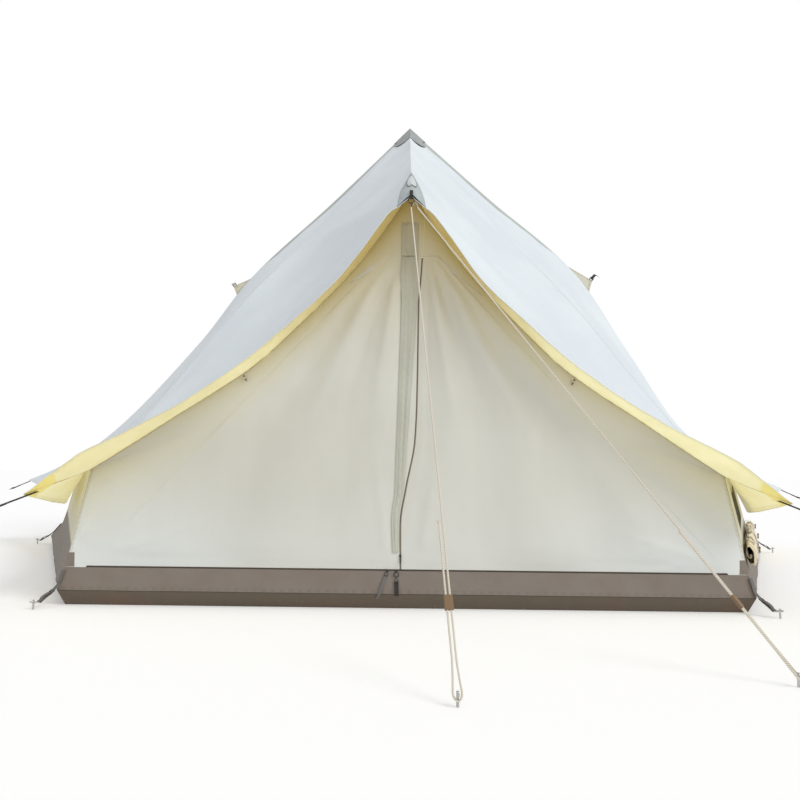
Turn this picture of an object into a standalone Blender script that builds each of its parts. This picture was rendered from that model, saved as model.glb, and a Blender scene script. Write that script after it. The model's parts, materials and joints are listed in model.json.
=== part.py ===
"""Pyramid tent on a six-sided floor, with a front awning held up by a second pole.

Metres, +Z up, -Y is the front with the door. The origin is on the ground under the peak.
"""

import math

import bmesh
import bpy
from mathutils import Matrix, Vector
from mathutils.bvhtree import BVHTree
from mathutils.geometry import delaunay_2d_cdt

# Clearances
GAP = 0.0003
HINGE_GAP = 0.0008
LEAF_SILL_GAP = 0.0012
SLIDE_GAP = 0.0005
WALL_SEAM_GAP = 0.0015
EAVE_SEAM_GAP = 0.0012

# Cloth, sheets and webbing
CLOTH = 0.004
MITRE = 1.15
MESH_THICKNESS = 0.002
FLOOR_THICKNESS = 0.004
WEBBING_WIDTH = 0.020
WEBBING_THICKNESS = 0.002

# Floor plan: half widths and half depth of the six-sided floor
FRONT_HALF = 1.50
MIDDLE_HALF = 2.60
HALF_DEPTH = 2.15

# Low wall: how far its corners stand out from the floor plan at each height
FOOT_INSET = 0.03
BAND_SEAM_HEIGHT = 0.065
BAND_SEAM_OUTSET = 0.010
MUD_WALL_TOP = 0.16
WALL_TOP = 0.58
END_INSETS = (0.02, 0.12)
MIDDLE_INSETS = (0.07, 0.20)

# Roof seams as (radius, height) pairs, each from the peak to its eave corner
PEAK = 3.21
VENT_RADIUS = 0.045
FRONT_EAVE_REACH = 0.18
MIDDLE_EAVE_REACH = 0.14
FRONT_HIP = ((0.0, PEAK), (1.0, 2.15), (1.6, 1.56), (2.2, 0.88), (2.48, 0.60), (2.80, 0.48))
REAR_HIP = ((0.0, PEAK), (1.3, 1.80), (2.1, 0.95), (2.48, 0.60), (2.80, 0.48))
LEFT_HIP = ((0.0, PEAK), (0.58, 2.62), (1.21, 2.00), (1.57, 1.51), (2.28, 0.755), (2.62, 0.545), (2.80, 0.466))
RIGHT_HIP = ((0.0, PEAK), (0.61, 2.66), (1.28, 2.07), (1.67, 1.474), (2.10, 0.86), (2.62, 0.545), (2.80, 0.466))
RIDGE = ((0.0, PEAK), (1.0, 2.575), (2.08, 1.930), (2.27, 1.790))
SEAM_HEIGHTS = ((0.0, 1.895), (0.05, 1.80), (0.10, 1.715), (0.25, 1.51), (0.45, 1.29), (0.70, 1.05),
                (0.85, 0.944), (1.00, 0.847), (1.20, 0.715), (1.40, 0.60))
AWNING_HEIGHTS = ((0.0, 1.790), (0.10, 1.70), (0.32, 1.41), (0.50, 1.24), (0.65, 1.105), (0.84, 0.96),
                  (1.00, 0.858), (1.20, 0.748), (1.43, 0.632), (1.61, 0.50))
AWNING_REACH = 2.27
GORE_SAG = 0.035
HEM_OUTWARD = 0.105
HEM_DROP = 0.25
UPPER_ROWS = 12
EAVE_ROWS = 3
GORE_COLUMNS = 8
RIDGE_ROWS = 5

# Peak cap and boot over the pole under the awning
CAP_RADIUS = 0.115
CAP_THICKNESS = 0.003
CAP_LIFT = 0.006
CAP_STEEPNESS = 1.3
BOOT_HALF_WIDTH = 0.060
BOOT_BACK = 1.98
BOOT_BULGE = 0.018

# Poles
CENTRE_POLE_RADIUS = 0.016
FRONT_POLE_RADIUS = 0.013
POLE_WALL = 0.0015
SPIGOT_LENGTH = 0.12
PIN_RADIUS = 0.004
PIN_LENGTH = 0.025
FOOT_RADIUS = 0.030
FOOT_HEIGHT = 0.030
FRONT_POLE_REACH = 2.08

# Door: hinge lines, zip line and flap
HINGE_TOP = (0.03, 1.66)
HINGE_BOTTOM = (1.40, MUD_WALL_TOP)
LEAF_TOP = 1.56
LEAF_TOP_GAP = 0.005
ZIP_LINE = ((0.15, -0.028), (0.36, -0.031), (0.52, -0.008), (0.73, 0.029), (0.91, 0.036), (1.16, 0.038),
            (1.33, 0.039), (1.46, 0.048), (1.73, 0.064))
ZIP_WIDTH = 0.008
ZIP_THICKNESS = 0.003
BOTTOM_ZIP_HEIGHT = 0.006
BOTTOM_ZIP_HALF = 1.385
FOLD_DEPTH = 0.012
FOLD_COUNT = 5
FLAT_SHARE = 0.05
LEAF_COLUMNS = 12
LEAF_ROWS = 14
FLAP_BOTTOM = 0.24
FLAP_WIDTH_LOW = 0.028
FLAP_WIDTH_HIGH = 0.075

# Zip sliders and pulls
SLIDER = (0.010, 0.005, 0.013)
SLIDER_LOW = 0.225
SLIDER_HIGH = 1.335
BOTTOM_SLIDER_X = (-0.085, -0.047)
PULL = (0.010, 0.002, 0.042)
RING_PULL_LENGTH = 0.030

# Webbing, rings and pegs
RING_RADIUS = 0.013
RING_WIRE = 0.0025
STRAP_LENGTH = 0.13
STRAP_INBOARD = 0.06
CORNER_LOOP_TOP = 0.088
CORNER_LOOP_END = 0.028
CORNER_LOOP_REACH = 0.085
PEG_RADIUS = 0.004
PEG_HEIGHT = 0.048

# Side window and its gathered flap
WINDOW_ALONG = (0.24, 0.70)
WINDOW_HEIGHTS = (0.30, 0.47)
MESH_BORDER = 0.02
MESH_GAP = 0.0009
ROLL_ALONG = (0.035, 0.74)
ROLL_HEIGHT = 0.235
ROLL_HALF_HEIGHT = 0.080
ROLL_HALF_DEPTH = 0.034

# Pull-out tabs on the side seams
TAB_START = 1.20
TAB_LENGTH = 0.10
TAB_TIP = 0.058
TAB_THICKNESS = 0.003
BUCKLE = (0.030, 0.024, 0.006)
TAB_WEBBING_LENGTH = 0.10

# Guy ropes: from the ring under the boot to pegs in front
ROPE_RADIUS = 0.003
ROPE_START = (-0.001, -2.298, 1.728)
ROPE_STARTS_APART = 0.028
ROPE_END_RISE = 0.65
TIP_RING_HEIGHT = 1.768
TIP_STRAP_LENGTH = 0.026
CLIP_WIDTH = 0.040
CLIP_MARGIN = 0.012
ROPE_PEGS = ((0.127, -3.35), (1.127, -3.15))
ROPE_PEG_HEIGHT = 0.028
ROUND_PEG_GAP = 0.0009
STRAND_SPACING = 0.012
STRAND_LENGTH = 0.50
HAIRPIN_RADIUS = 0.012
RUNNER = (0.026, 0.010, 0.045)
RUNNER_REST = 0.25
GUY_RADIUS = 0.0015
GUY_PEG_RADIUS = 3.26

TOGGLE_RADIUS = 0.004
TOGGLE_LENGTH = 0.030

MATERIALS = {
    "roof": ((0.74, 0.78, 0.81), 0.75, 0.0),
    "wall": ((0.60, 0.59, 0.52), 0.80, 0.0),
    "mud": ((0.19, 0.16, 0.13), 0.70, 0.0),
    "floor": ((0.12, 0.11, 0.10), 0.65, 0.0),
    "cap": ((0.40, 0.42, 0.42), 0.70, 0.0),
    "webbing": ((0.045, 0.040, 0.036), 0.80, 0.0),
    "steel": ((0.55, 0.55, 0.56), 0.35, 1.0),
    "pole": ((0.62, 0.63, 0.65), 0.30, 1.0),
    "plastic": ((0.05, 0.045, 0.045), 0.45, 0.0),
    "rope": ((0.80, 0.77, 0.68), 0.85, 0.0),
    "mesh": ((0.10, 0.10, 0.10), 0.90, 0.0),
}


def material(name):
    """Give the named material, made on first use."""
    found = bpy.data.materials.get(name)
    if found:
        return found
    colour, roughness, metallic = MATERIALS[name]
    made = bpy.data.materials.new(name)
    made.use_nodes = True
    shader = made.node_tree.nodes["Principled BSDF"]
    shader.inputs["Base Color"].default_value = (*colour, 1.0)
    shader.inputs["Roughness"].default_value = roughness
    shader.inputs["Metallic"].default_value = metallic
    return made


def clear_scene():
    """Remove every object of the starting scene."""
    for thing in list(bpy.data.objects):
        bpy.data.objects.remove(thing, do_unlink=True)


def finish(name, shape, stuff, origin=None, smooth_angle=None):
    """Turn a bmesh in world places into a named object whose origin is at origin."""
    bmesh.ops.recalc_face_normals(shape, faces=shape.faces)
    if origin is not None:
        bmesh.ops.translate(shape, verts=shape.verts, vec=-Vector(origin))
    mesh = bpy.data.meshes.new(name)
    shape.to_mesh(mesh)
    shape.free()
    if smooth_angle is not None:
        mesh.shade_smooth()
        mesh.set_sharp_from_angle(angle=math.radians(smooth_angle))
    mesh.materials.append(material(stuff))
    thing = bpy.data.objects.new(name, mesh)
    if origin is not None:
        thing.location = origin
    bpy.context.collection.objects.link(thing)
    return thing


def interpolate(pairs, value):
    """Read a smooth curve through (position, height) pairs, without overshoot."""
    places = [pair[0] for pair in pairs]
    heights = [pair[1] for pair in pairs]
    last = len(pairs) - 1
    steps = [(heights[i + 1] - heights[i]) / (places[i + 1] - places[i]) for i in range(last)]
    slopes = [steps[0]]
    for before, after in zip(steps, steps[1:]):
        same_way = before * after > 0
        slopes.append(2 * before * after / (before + after) if same_way else 0.0)
    slopes.append(steps[-1])
    i = 0
    while i < last - 1 and value > places[i + 1]:
        i += 1
    width = places[i + 1] - places[i]
    t = (value - places[i]) / width
    if t < 0 or t > 1:
        edge, slope = (0, slopes[0]) if t < 0 else (last, slopes[-1])
        return heights[edge] + slope * (value - places[edge])
    start = (1 + 2 * t) * (1 - t) ** 2 * heights[i] + t * (1 - t) ** 2 * width * slopes[i]
    end = t * t * (3 - 2 * t) * heights[i + 1] + t * t * (t - 1) * width * slopes[i + 1]
    return start + end


def blend(start, end, share):
    """Mix two numbers or vectors."""
    return start + (end - start) * share


class Seam:
    """A roof seam in its own upright plane through the tent's axis."""

    def __init__(self, x, y, profile, insets=(0.0, 0.0)):
        self.along = Vector((x, y, 0.0)).normalized()
        self.across = Vector((-self.along.y, self.along.x, 0.0))
        self.floor_radius = math.hypot(x, y)
        self.profile = profile
        self.insets = insets
        self.wall_radius = self.floor_radius - insets[1]
        self.eave_radius = profile[-1][0]

    def height(self, radius):
        """Height of the seam's outer side at a radius."""
        return interpolate(self.profile, radius)

    def normal(self, radius):
        """Outward direction square to the seam in its plane."""
        step = 0.01
        drop = (self.height(radius + step) - self.height(radius - step)) / (2 * step)
        return (Vector((0, 0, 1)) - self.along * drop).normalized()

    def point(self, radius, side=0, depth=0.0):
        """Point on the seam, half a gap to one side, at a depth under the outer face."""
        base = self.along * radius + Vector((0, 0, self.height(radius)))
        return base + self.across * (side * GAP / 2) - self.normal(radius) * depth

    def radii(self):
        """Radii of the panel rows, from the vent through the wall's top to the eave."""
        upper = [blend(VENT_RADIUS, self.wall_radius, i / UPPER_ROWS) for i in range(UPPER_ROWS + 1)]
        eave = [blend(self.wall_radius, self.eave_radius, i / EAVE_ROWS) for i in range(1, EAVE_ROWS + 1)]
        return upper + eave

    def wall_radius_at(self, height):
        """Radius of the low wall's corner at a height."""
        outline = ((0.0, -FOOT_INSET), (BAND_SEAM_HEIGHT, BAND_SEAM_OUTSET),
                   (MUD_WALL_TOP, -self.insets[0]), (WALL_TOP, -self.insets[1]))
        for (low, inner), (high, outer) in zip(outline, outline[1:]):
            if height <= high or high == WALL_TOP:
                return self.floor_radius + blend(inner, outer, (height - low) / (high - low))
        return self.floor_radius

    def wall_point(self, height, side=0, depth=0.0):
        """Point on the low wall's corner line."""
        radius = self.wall_radius_at(height) - depth
        return self.along * radius + self.across * (side * GAP / 2) + Vector((0, 0, height))


HIPS = {
    "front_left": Seam(-FRONT_HALF, -HALF_DEPTH, FRONT_HIP, END_INSETS),
    "front_right": Seam(FRONT_HALF, -HALF_DEPTH, FRONT_HIP, END_INSETS),
    "right": Seam(MIDDLE_HALF, 0.0, RIGHT_HIP, MIDDLE_INSETS),
    "rear_right": Seam(FRONT_HALF, HALF_DEPTH, REAR_HIP, END_INSETS),
    "rear_left": Seam(-FRONT_HALF, HALF_DEPTH, REAR_HIP, END_INSETS),
    "left": Seam(-MIDDLE_HALF, 0.0, LEFT_HIP, MIDDLE_INSETS),
}
CENTRE_RIDGE = Seam(0.0, -HALF_DEPTH, RIDGE)
SILL = HIPS["front_right"].wall_point(MUD_WALL_TOP)
DOOR_Y = SILL.y


def side_of(seam, toward):
    """Say on which side of a seam's plane a panel lies."""
    return 1 if seam.across.dot(Vector(toward)) > 0 else -1


class Sheet:
    """A cloth panel: grids of outer points that get their thickness inwards."""

    def __init__(self, thickness=CLOTH):
        self.thickness = thickness
        self.keys = {}
        self.outer = []
        self.fixed_inner = {}
        self.faces = []

    def vertex(self, point, inner=None):
        """Index of an outer point; points at one place are one vertex."""
        key = tuple(round(value, 5) for value in point)
        if key not in self.keys:
            self.keys[key] = len(self.outer)
            self.outer.append(Vector(point))
        index = self.keys[key]
        if inner is not None:
            self.fixed_inner[index] = Vector(inner)
        return index

    def grid(self, rows):
        """Add rows of (outer, inner or None) points, joined by triangles."""
        indices = [[self.vertex(*entry) for entry in row] for row in rows]
        for low, high in zip(indices, indices[1:]):
            for i in range(len(low) - 1):
                for corners in ([low[i], low[i + 1], high[i + 1]], [low[i], high[i + 1], high[i]]):
                    if len(set(corners)) == 3:
                        self.faces.append(corners)

    def normals(self):
        """Outward direction at each outer point."""
        sums = [Vector() for _ in self.outer]
        inside = Vector((0, 0, 0.8))
        outward = 0.0
        for face in self.faces:
            a, b, c = (self.outer[i] for i in face)
            area = (b - a).cross(c - a)
            outward += area.dot((a + b + c) / 3 - inside)
            for i in face:
                sums[i] += area
        sign = 1 if outward > 0 else -1
        return [(direction * sign).normalized() for direction in sums]

    def solid(self):
        """Closed bmesh of the panel."""
        inner = []
        for i, (point, normal) in enumerate(zip(self.outer, self.normals())):
            inner.append(self.fixed_inner.get(i, point - normal * self.thickness))
        shape = bmesh.new()
        top = [shape.verts.new(point) for point in self.outer]
        under = [shape.verts.new(point) for point in inner]
        edges = {}
        for face in self.faces:
            shape.faces.new([top[i] for i in face])
            shape.faces.new([under[i] for i in reversed(face)])
            for a, b in zip(face, face[1:] + face[:1]):
                edges.setdefault(frozenset((a, b)), []).append((a, b))
        for uses in edges.values():
            if len(uses) == 1:
                a, b = uses[0]
                shape.faces.new([top[b], top[a], under[a], under[b]])
        return shape


def seam_entry(seam, radius, side):
    """Outer and inner point of a panel's edge on a seam."""
    return seam.point(radius, side), seam.point(radius, side, CLOTH * MITRE)


def bowed_row(start, end, count, bow):
    """Points between two edge entries, bowed by a vector at the middle."""
    row = [start]
    for i in range(1, count):
        share = i / count
        row.append((blend(start[0], end[0], share) + bow * (4 * share * (1 - share)), None))
    row.append(end)
    return row


def gore_sheet(first, second, columns):
    """Panel between two hips, with a hollow-cut hem between the eave corners."""
    middle = (first.along + second.along).normalized()
    sides = side_of(first, middle), side_of(second, middle)
    outward = (second.wall_point(0.0) - first.wall_point(0.0)).cross(Vector((0, 0, 1))).normalized()
    if outward.dot(middle) < 0:
        outward = -outward
    tops = first.point(first.wall_radius), second.point(second.wall_radius)
    eaves = first.point(first.eave_radius), second.point(second.eave_radius)
    hem_middle = (tops[0] + tops[1]) / 2 + outward * HEM_OUTWARD - Vector((0, 0, HEM_DROP))
    sheet = Sheet()
    rows = []
    for i, (r1, r2) in enumerate(zip(first.radii(), second.radii())):
        start = seam_entry(first, r1, sides[0])
        end = seam_entry(second, r2, sides[1])
        if i <= UPPER_ROWS:
            wave = math.sin(math.pi * i / UPPER_ROWS)
            bow = -(outward + Vector((0, 0, 1))) * (GORE_SAG * wave)
        else:
            share = (i - UPPER_ROWS) / EAVE_ROWS
            bow = (hem_middle - (eaves[0] + eaves[1]) / 2) * share
        rows.append(bowed_row(start, end, columns, bow))
    sheet.grid(rows)
    return sheet


def front_seam_point(x):
    """Outer side of the roof where the front wall is sewn to it, at a distance x from the middle."""
    corner = HIPS["front_right"].point(HIPS["front_right"].wall_radius)
    start = 1.06
    share = max(0.0, (x - start) / (corner.x - start))
    y = blend(DOOR_Y, corner.y, share * share)
    return Vector((x, y, interpolate(SEAM_HEIGHTS, x)))


def front_roof_sheet(mirror):
    """Half of the front roof with its awning; mirror is 1 on the right and -1 on the left."""
    corner_hip = HIPS["front_right"]
    side = side_of(corner_hip, (0, -1, 0))
    ridge_side = side_of(CENTRE_RIDGE, (1, 0, 0))
    hip_radii = corner_hip.radii()
    corner = seam_entry(corner_hip, corner_hip.wall_radius, side)
    seam_xs = [0.20, 0.42, 0.64, 0.86, 1.06, 1.24]
    awning_xs = [0.24, 0.48, 0.72, 0.95, 1.17, 1.40]
    ridge_radii = [VENT_RADIUS, 0.55, 1.05, 1.56, FRONT_POLE_REACH, -DOOR_Y]
    borders = [seam_entry(CENTRE_RIDGE, radius, ridge_side) for radius in ridge_radii]
    borders += [(front_seam_point(x), None) for x in seam_xs]
    borders.append(corner)
    sheet = Sheet()
    upper = []
    for i, border in enumerate(borders):
        start = seam_entry(corner_hip, hip_radii[i], side)
        wave = math.sin(math.pi * i / UPPER_ROWS)
        bow = Vector((0, 0.5, -1)) * (GORE_SAG * wave)
        if i == UPPER_ROWS:
            bow = Vector()
        upper.append(bowed_row(start, border, GORE_COLUMNS, bow))
    sheet.grid(upper)
    hems = [seam_entry(CENTRE_RIDGE, AWNING_REACH, ridge_side)]
    for x in awning_xs:
        hems.append((Vector((x, -AWNING_REACH, interpolate(AWNING_HEIGHTS, x))), None))
    sewn = borders[RIDGE_ROWS:]
    crossings = []
    for i, hem in enumerate(hems):
        crossings.append(bowed_row(sewn[i], hem, EAVE_ROWS, Vector()))
    for i in range(1, EAVE_ROWS):
        radius = blend(-DOOR_Y, AWNING_REACH, i / EAVE_ROWS)
        crossings[0][i] = seam_entry(CENTRE_RIDGE, radius, ridge_side)
    crossings.append([seam_entry(corner_hip, radius, side) for radius in hip_radii[UPPER_ROWS:]])
    sheet.grid(crossings)
    if mirror < 0:
        flip = Matrix.Scale(-1, 3, Vector((1, 0, 0)))
        sheet.outer = [flip @ point for point in sheet.outer]
        sheet.fixed_inner = {i: flip @ point for i, point in sheet.fixed_inner.items()}
    return sheet


class Probe:
    """Looks up where the roof is over or under a place."""

    def __init__(self, shapes):
        points = []
        faces = []
        for shape in shapes:
            start = len(points)
            shape.verts.index_update()
            points += [vertex.co.copy() for vertex in shape.verts]
            faces += [[start + vertex.index for vertex in face.verts] for face in shape.faces]
        self.tree = BVHTree.FromPolygons(points, faces)
        self.spread = 0.0008

    def look(self, x, y, start, direction):
        """Nearest heights met by four rays about one place."""
        found = []
        for dx, dy in ((-1, -1), (-1, 1), (1, -1), (1, 1)):
            place = Vector((x + dx * self.spread, y + dy * self.spread, start))
            hit = self.tree.ray_cast(place, Vector((0, 0, direction)))[0]
            if hit is not None:
                found.append(hit.z)
        return found

    def under(self, x, y):
        """Height of the roof's inner side over a place, or infinity where there is no roof."""
        return min(self.look(x, y, 0.05, 1), default=math.inf)

    def over(self, x, y):
        """Height of the roof's outer side at a place, or zero where there is no roof."""
        return max(self.look(x, y, PEAK + 1.0, -1), default=0.0)


def build_roof():
    """Make the seven roof panels and give a probe of them."""
    panels = {
        "roof_front_left": front_roof_sheet(-1),
        "roof_front_right": front_roof_sheet(1),
        "roof_side_left_front": gore_sheet(HIPS["left"], HIPS["front_left"], GORE_COLUMNS),
        "roof_side_right_front": gore_sheet(HIPS["front_right"], HIPS["right"], GORE_COLUMNS),
        "roof_side_left_rear": gore_sheet(HIPS["rear_left"], HIPS["left"], GORE_COLUMNS),
        "roof_side_right_rear": gore_sheet(HIPS["right"], HIPS["rear_right"], GORE_COLUMNS),
        "roof_rear": gore_sheet(HIPS["rear_right"], HIPS["rear_left"], GORE_COLUMNS + 2),
    }
    shapes = {name: sheet.solid() for name, sheet in panels.items()}
    probe = Probe(shapes.values())
    for name, shape in shapes.items():
        finish(name, shape, "roof", smooth_angle=40)
    return probe


def wall_sheet(first, second, heights, top=None):
    """Wall between two floor corners; top gives the height of its last row at a place."""
    middle = (first.along + second.along).normalized()
    sides = side_of(first, middle), side_of(second, middle)
    columns = GORE_COLUMNS
    outward = (second.wall_point(0.0) - first.wall_point(0.0)).cross(Vector((0, 0, 1))).normalized()
    if outward.dot(middle) < 0:
        outward = -outward
    sheet = Sheet()
    rows = []
    for level, height in enumerate(heights):
        ends = []
        for corner, side in zip((first, second), sides):
            ends.append((corner.wall_point(height, side), corner.wall_point(height, side, CLOTH * MITRE)))
        row = bowed_row(ends[0], ends[1], columns, Vector())
        row = [(outer, outer - outward * CLOTH if inner is None else inner) for outer, inner in row]
        if top is not None and level == len(heights) - 1:
            row = [top_entry(entry, top) for entry in row]
        rows.append(row)
    sheet.grid(rows)
    return sheet


def top_entry(entry, top):
    """Move a wall's upper point, and its inner one, to the height that the roof leaves."""
    outer, inner = entry
    height = top(outer.x, outer.y) - EAVE_SEAM_GAP
    return Vector((outer.x, outer.y, height)), Vector((inner.x, inner.y, height))


def build_low_walls(probe):
    """Make the mud walls and the side and rear walls over them."""
    order = ["front_left", "front_right", "right", "rear_right", "rear_left", "left"]
    mud_names = ["mud_wall_front", "mud_wall_front_right", "mud_wall_rear_right", "mud_wall_rear",
                 "mud_wall_rear_left", "mud_wall_front_left"]
    wall_names = [None, "side_wall_front_right", "side_wall_rear_right", "rear_wall",
                  "side_wall_rear_left", "side_wall_front_left"]
    mud_heights = (0.0, BAND_SEAM_HEIGHT, MUD_WALL_TOP)
    wall_heights = (MUD_WALL_TOP + GAP, (MUD_WALL_TOP + WALL_TOP) / 2, WALL_TOP - CLOTH)
    for i, corner in enumerate(order):
        ends = HIPS[corner], HIPS[order[(i + 1) % len(order)]]
        shapes = [wall_sheet(*ends, mud_heights).solid()]
        if mud_names[i] == "mud_wall_front":
            shapes.append(bottom_zip())
        fuse(mud_names[i], shapes, "mud")
        if wall_names[i] is not None:
            finish(wall_names[i], wall_sheet(*ends, wall_heights, probe.under).solid(), "wall")


def bottom_zip():
    """Half of the door's bottom zip, sewn into the top of the front mud wall."""
    low = MUD_WALL_TOP - 0.0015
    high = MUD_WALL_TOP + GAP + BOTTOM_ZIP_HEIGHT
    centre = (0, DOOR_Y + CLOTH / 2, (low + high) / 2)
    return box((2 * BOTTOM_ZIP_HALF, ZIP_THICKNESS, high - low), centre)


def build_groundsheet():
    """Make the floor, inside the foot of the walls."""
    order = ["front_left", "front_right", "right", "rear_right", "rear_left", "left"]
    shape = bmesh.new()
    corners = []
    for name in order:
        place = HIPS[name].wall_point(0.0, depth=CLOTH * MITRE + GAP * MITRE)
        corners.append(shape.verts.new((place.x, place.y, 0.0)))
    face = shape.faces.new(corners)
    raised = bmesh.ops.extrude_face_region(shape, geom=[face])["geom"]
    verts = [item for item in raised if isinstance(item, bmesh.types.BMVert)]
    bmesh.ops.translate(shape, verts=verts, vec=(0, 0, FLOOR_THICKNESS))
    finish("groundsheet", shape, "floor")


def box(size, centre=(0, 0, 0), rotation=None, bevel=0.0):
    """Box as a bmesh, with its edges rounded off when bevel is given."""
    shape = bmesh.new()
    bmesh.ops.create_cube(shape, size=1.0)
    bmesh.ops.scale(shape, verts=shape.verts, vec=size)
    if bevel:
        bmesh.ops.bevel(shape, geom=shape.edges, offset=bevel, segments=1, affect="EDGES")
    if rotation is not None:
        bmesh.ops.rotate(shape, verts=shape.verts, cent=(0, 0, 0), matrix=rotation)
    bmesh.ops.translate(shape, verts=shape.verts, vec=centre)
    return shape


def frame_of(forward, sideways):
    """Rotation whose Z axis runs along forward and X axis along sideways."""
    z = Vector(forward).normalized()
    x = (Vector(sideways) - z * z.dot(Vector(sideways))).normalized()
    y = z.cross(x)
    return Matrix((x, y, z)).transposed()


def add_boolean(thing, operation, name, shape):
    """Join a shape to an object, or cut it away, by a Boolean modifier."""
    helper = finish(name, shape, "wall")
    helper.hide_render = True
    helper.display_type = "WIRE"
    modifier = thing.modifiers.new(operation.lower(), "BOOLEAN")
    modifier.operation = operation
    modifier.object = helper


def fuse(name, shapes, stuff, origin=None, smooth_angle=None):
    """One object from shapes that overlap."""
    thing = finish(name, shapes[0], stuff, origin, smooth_angle)
    for i, shape in enumerate(shapes[1:]):
        add_boolean(thing, "UNION", f"{name}_join_{i}", shape)
    return thing


def tube(points, radius, sides):
    """Round bar along a path, with flat ends; its first ring is level when the path starts upwards."""
    shape = bmesh.new()
    rings = []
    points = [Vector(point) for point in points]
    reference = None
    for i, point in enumerate(points):
        before = points[max(i - 1, 0)]
        after = points[min(i + 1, len(points) - 1)]
        ahead = (after - before).normalized()
        if reference is None:
            reference = ahead.orthogonal().normalized()
        reference = (reference - ahead * ahead.dot(reference)).normalized()
        other = ahead.cross(reference)
        ring = []
        for k in range(sides):
            angle = math.tau * k / sides
            ring.append(shape.verts.new(point + (reference * math.cos(angle) + other * math.sin(angle)) * radius))
        rings.append(ring)
    for low, high in zip(rings, rings[1:]):
        for k in range(sides):
            shape.faces.new([low[k], low[(k + 1) % sides], high[(k + 1) % sides], high[k]])
    shape.faces.new(list(reversed(rings[0])))
    shape.faces.new(rings[-1])
    return shape


def ring(centre, axis, toward, radius=RING_RADIUS, wire=RING_WIRE, steps=12, sides=6):
    """Wire ring about an axis, with a corner of its outline toward the next piece."""
    turn = frame_of(axis, toward)
    shape = bmesh.new()
    loops = []
    for i in range(steps):
        around = math.tau * i / steps
        loop = []
        for k in range(sides):
            angle = math.tau * k / sides
            out = radius + wire * math.cos(angle)
            local = Vector((out * math.cos(around), out * math.sin(around), wire * math.sin(angle)))
            loop.append(shape.verts.new(turn @ local + Vector(centre)))
        loops.append(loop)
    for i in range(steps):
        low, high = loops[i], loops[(i + 1) % steps]
        for k in range(sides):
            shape.faces.new([low[k], low[(k + 1) % sides], high[(k + 1) % sides], high[k]])
    return shape


def turned(profile, centre, axis=(0, 0, 1), steps=16):
    """Solid of revolution from (radius, height) pairs, closed on the axis or round a bore."""
    turn = frame_of(axis, Vector(axis).orthogonal())
    shape = bmesh.new()
    chain = [shape.verts.new((r, 0, z)) for r, z in profile]
    edges = [shape.edges.new(pair) for pair in zip(chain, chain[1:])]
    if profile[0][0] > 0:
        edges.append(shape.edges.new((chain[-1], chain[0])))
    bmesh.ops.spin(shape, geom=chain + edges, cent=(0, 0, 0), axis=(0, 0, 1), dvec=(0, 0, 0),
                   angle=math.tau, steps=steps, use_merge=True)
    bmesh.ops.remove_doubles(shape, verts=shape.verts, dist=1e-6)
    bmesh.ops.transform(shape, matrix=turn.to_4x4(), verts=shape.verts)
    bmesh.ops.translate(shape, verts=shape.verts, vec=centre)
    return shape


def strap(start, end, sideways, width=WEBBING_WIDTH, thickness=WEBBING_THICKNESS):
    """Flat piece of webbing between two points."""
    start, end = Vector(start), Vector(end)
    length = (end - start).length
    return box((width, thickness, length), (start + end) / 2, frame_of(end - start, sideways))


def build_peak():
    """Make the cap over the peak, a small pyramid with a corner on each roof seam."""
    seams = [CENTRE_RIDGE, HIPS["front_right"], HIPS["right"], HIPS["rear_right"], HIPS["rear_left"],
             HIPS["left"], HIPS["front_left"]]
    shape = bmesh.new()
    rings = []
    for lift in (CAP_LIFT + CAP_THICKNESS, CAP_LIFT):
        tip = shape.verts.new((0, 0, PEAK + lift + CAP_THICKNESS))
        rims = []
        for radius in (CAP_RADIUS / 2, CAP_RADIUS):
            rims.append([shape.verts.new(seam.point(radius) + Vector((0, 0, lift))) for seam in seams])
        rings.append((tip, rims))
    for level, (tip, (inner, outer)) in enumerate(rings):
        for i in range(len(seams)):
            j = (i + 1) % len(seams)
            faces = ([tip, inner[i], inner[j]], [inner[i], outer[i], outer[j], inner[j]])
            for face in faces:
                shape.faces.new(face if level == 0 else list(reversed(face)))
    upper, lower = rings[0][1][1], rings[1][1][1]
    for i in range(len(seams)):
        j = (i + 1) % len(seams)
        shape.faces.new([upper[j], upper[i], lower[i], lower[j]])
    finish("peak_cap", shape, "cap")


def build_boot(probe):
    """Make the boot that covers the roof over the front pole."""
    columns = 8
    rows = 8
    front = AWNING_REACH - 0.006
    lower = []
    upper = []
    for i in range(rows + 1):
        y = -blend(BOOT_BACK, front, i / rows)
        under_row = []
        over_row = []
        for k in range(columns + 1):
            x = blend(-BOOT_HALF_WIDTH, BOOT_HALF_WIDTH, k / columns)
            rest = probe.over(x, y) + GAP
            crown = (1 - (x / BOOT_HALF_WIDTH) ** 2) * math.sin(math.pi * (0.15 + 0.75 * i / rows))
            under_row.append(Vector((x, y, rest + BOOT_BULGE * crown)))
            over_row.append(Vector((x, y, rest + BOOT_BULGE * crown + CAP_THICKNESS)))
        lower.append(under_row)
        upper.append(over_row)
    lift = clear_lift(lower, probe)
    sheet = Sheet()
    entries = []
    for under_row, over_row in zip(lower, upper):
        entries.append([(over + lift, under + lift) for over, under in zip(over_row, under_row)])
    sheet.grid(entries)
    finish("tip_boot", sheet.solid(), "cap", smooth_angle=50)


def clear_lift(rows, probe):
    """How far a grid must rise so that its middles also clear the roof."""
    worst = 0.0
    for low, high in zip(rows, rows[1:]):
        for i in range(len(low) - 1):
            corners = low[i], low[i + 1], high[i], high[i + 1]
            for a, b in ((0, 3), (1, 2), (0, 1), (0, 2), (1, 3), (2, 3)):
                for share in (0.25, 0.5, 0.75):
                    place = blend(corners[a], corners[b], share)
                    worst = max(worst, probe.over(place.x, place.y) + GAP - place.z)
    return Vector((0, 0, worst))


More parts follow.
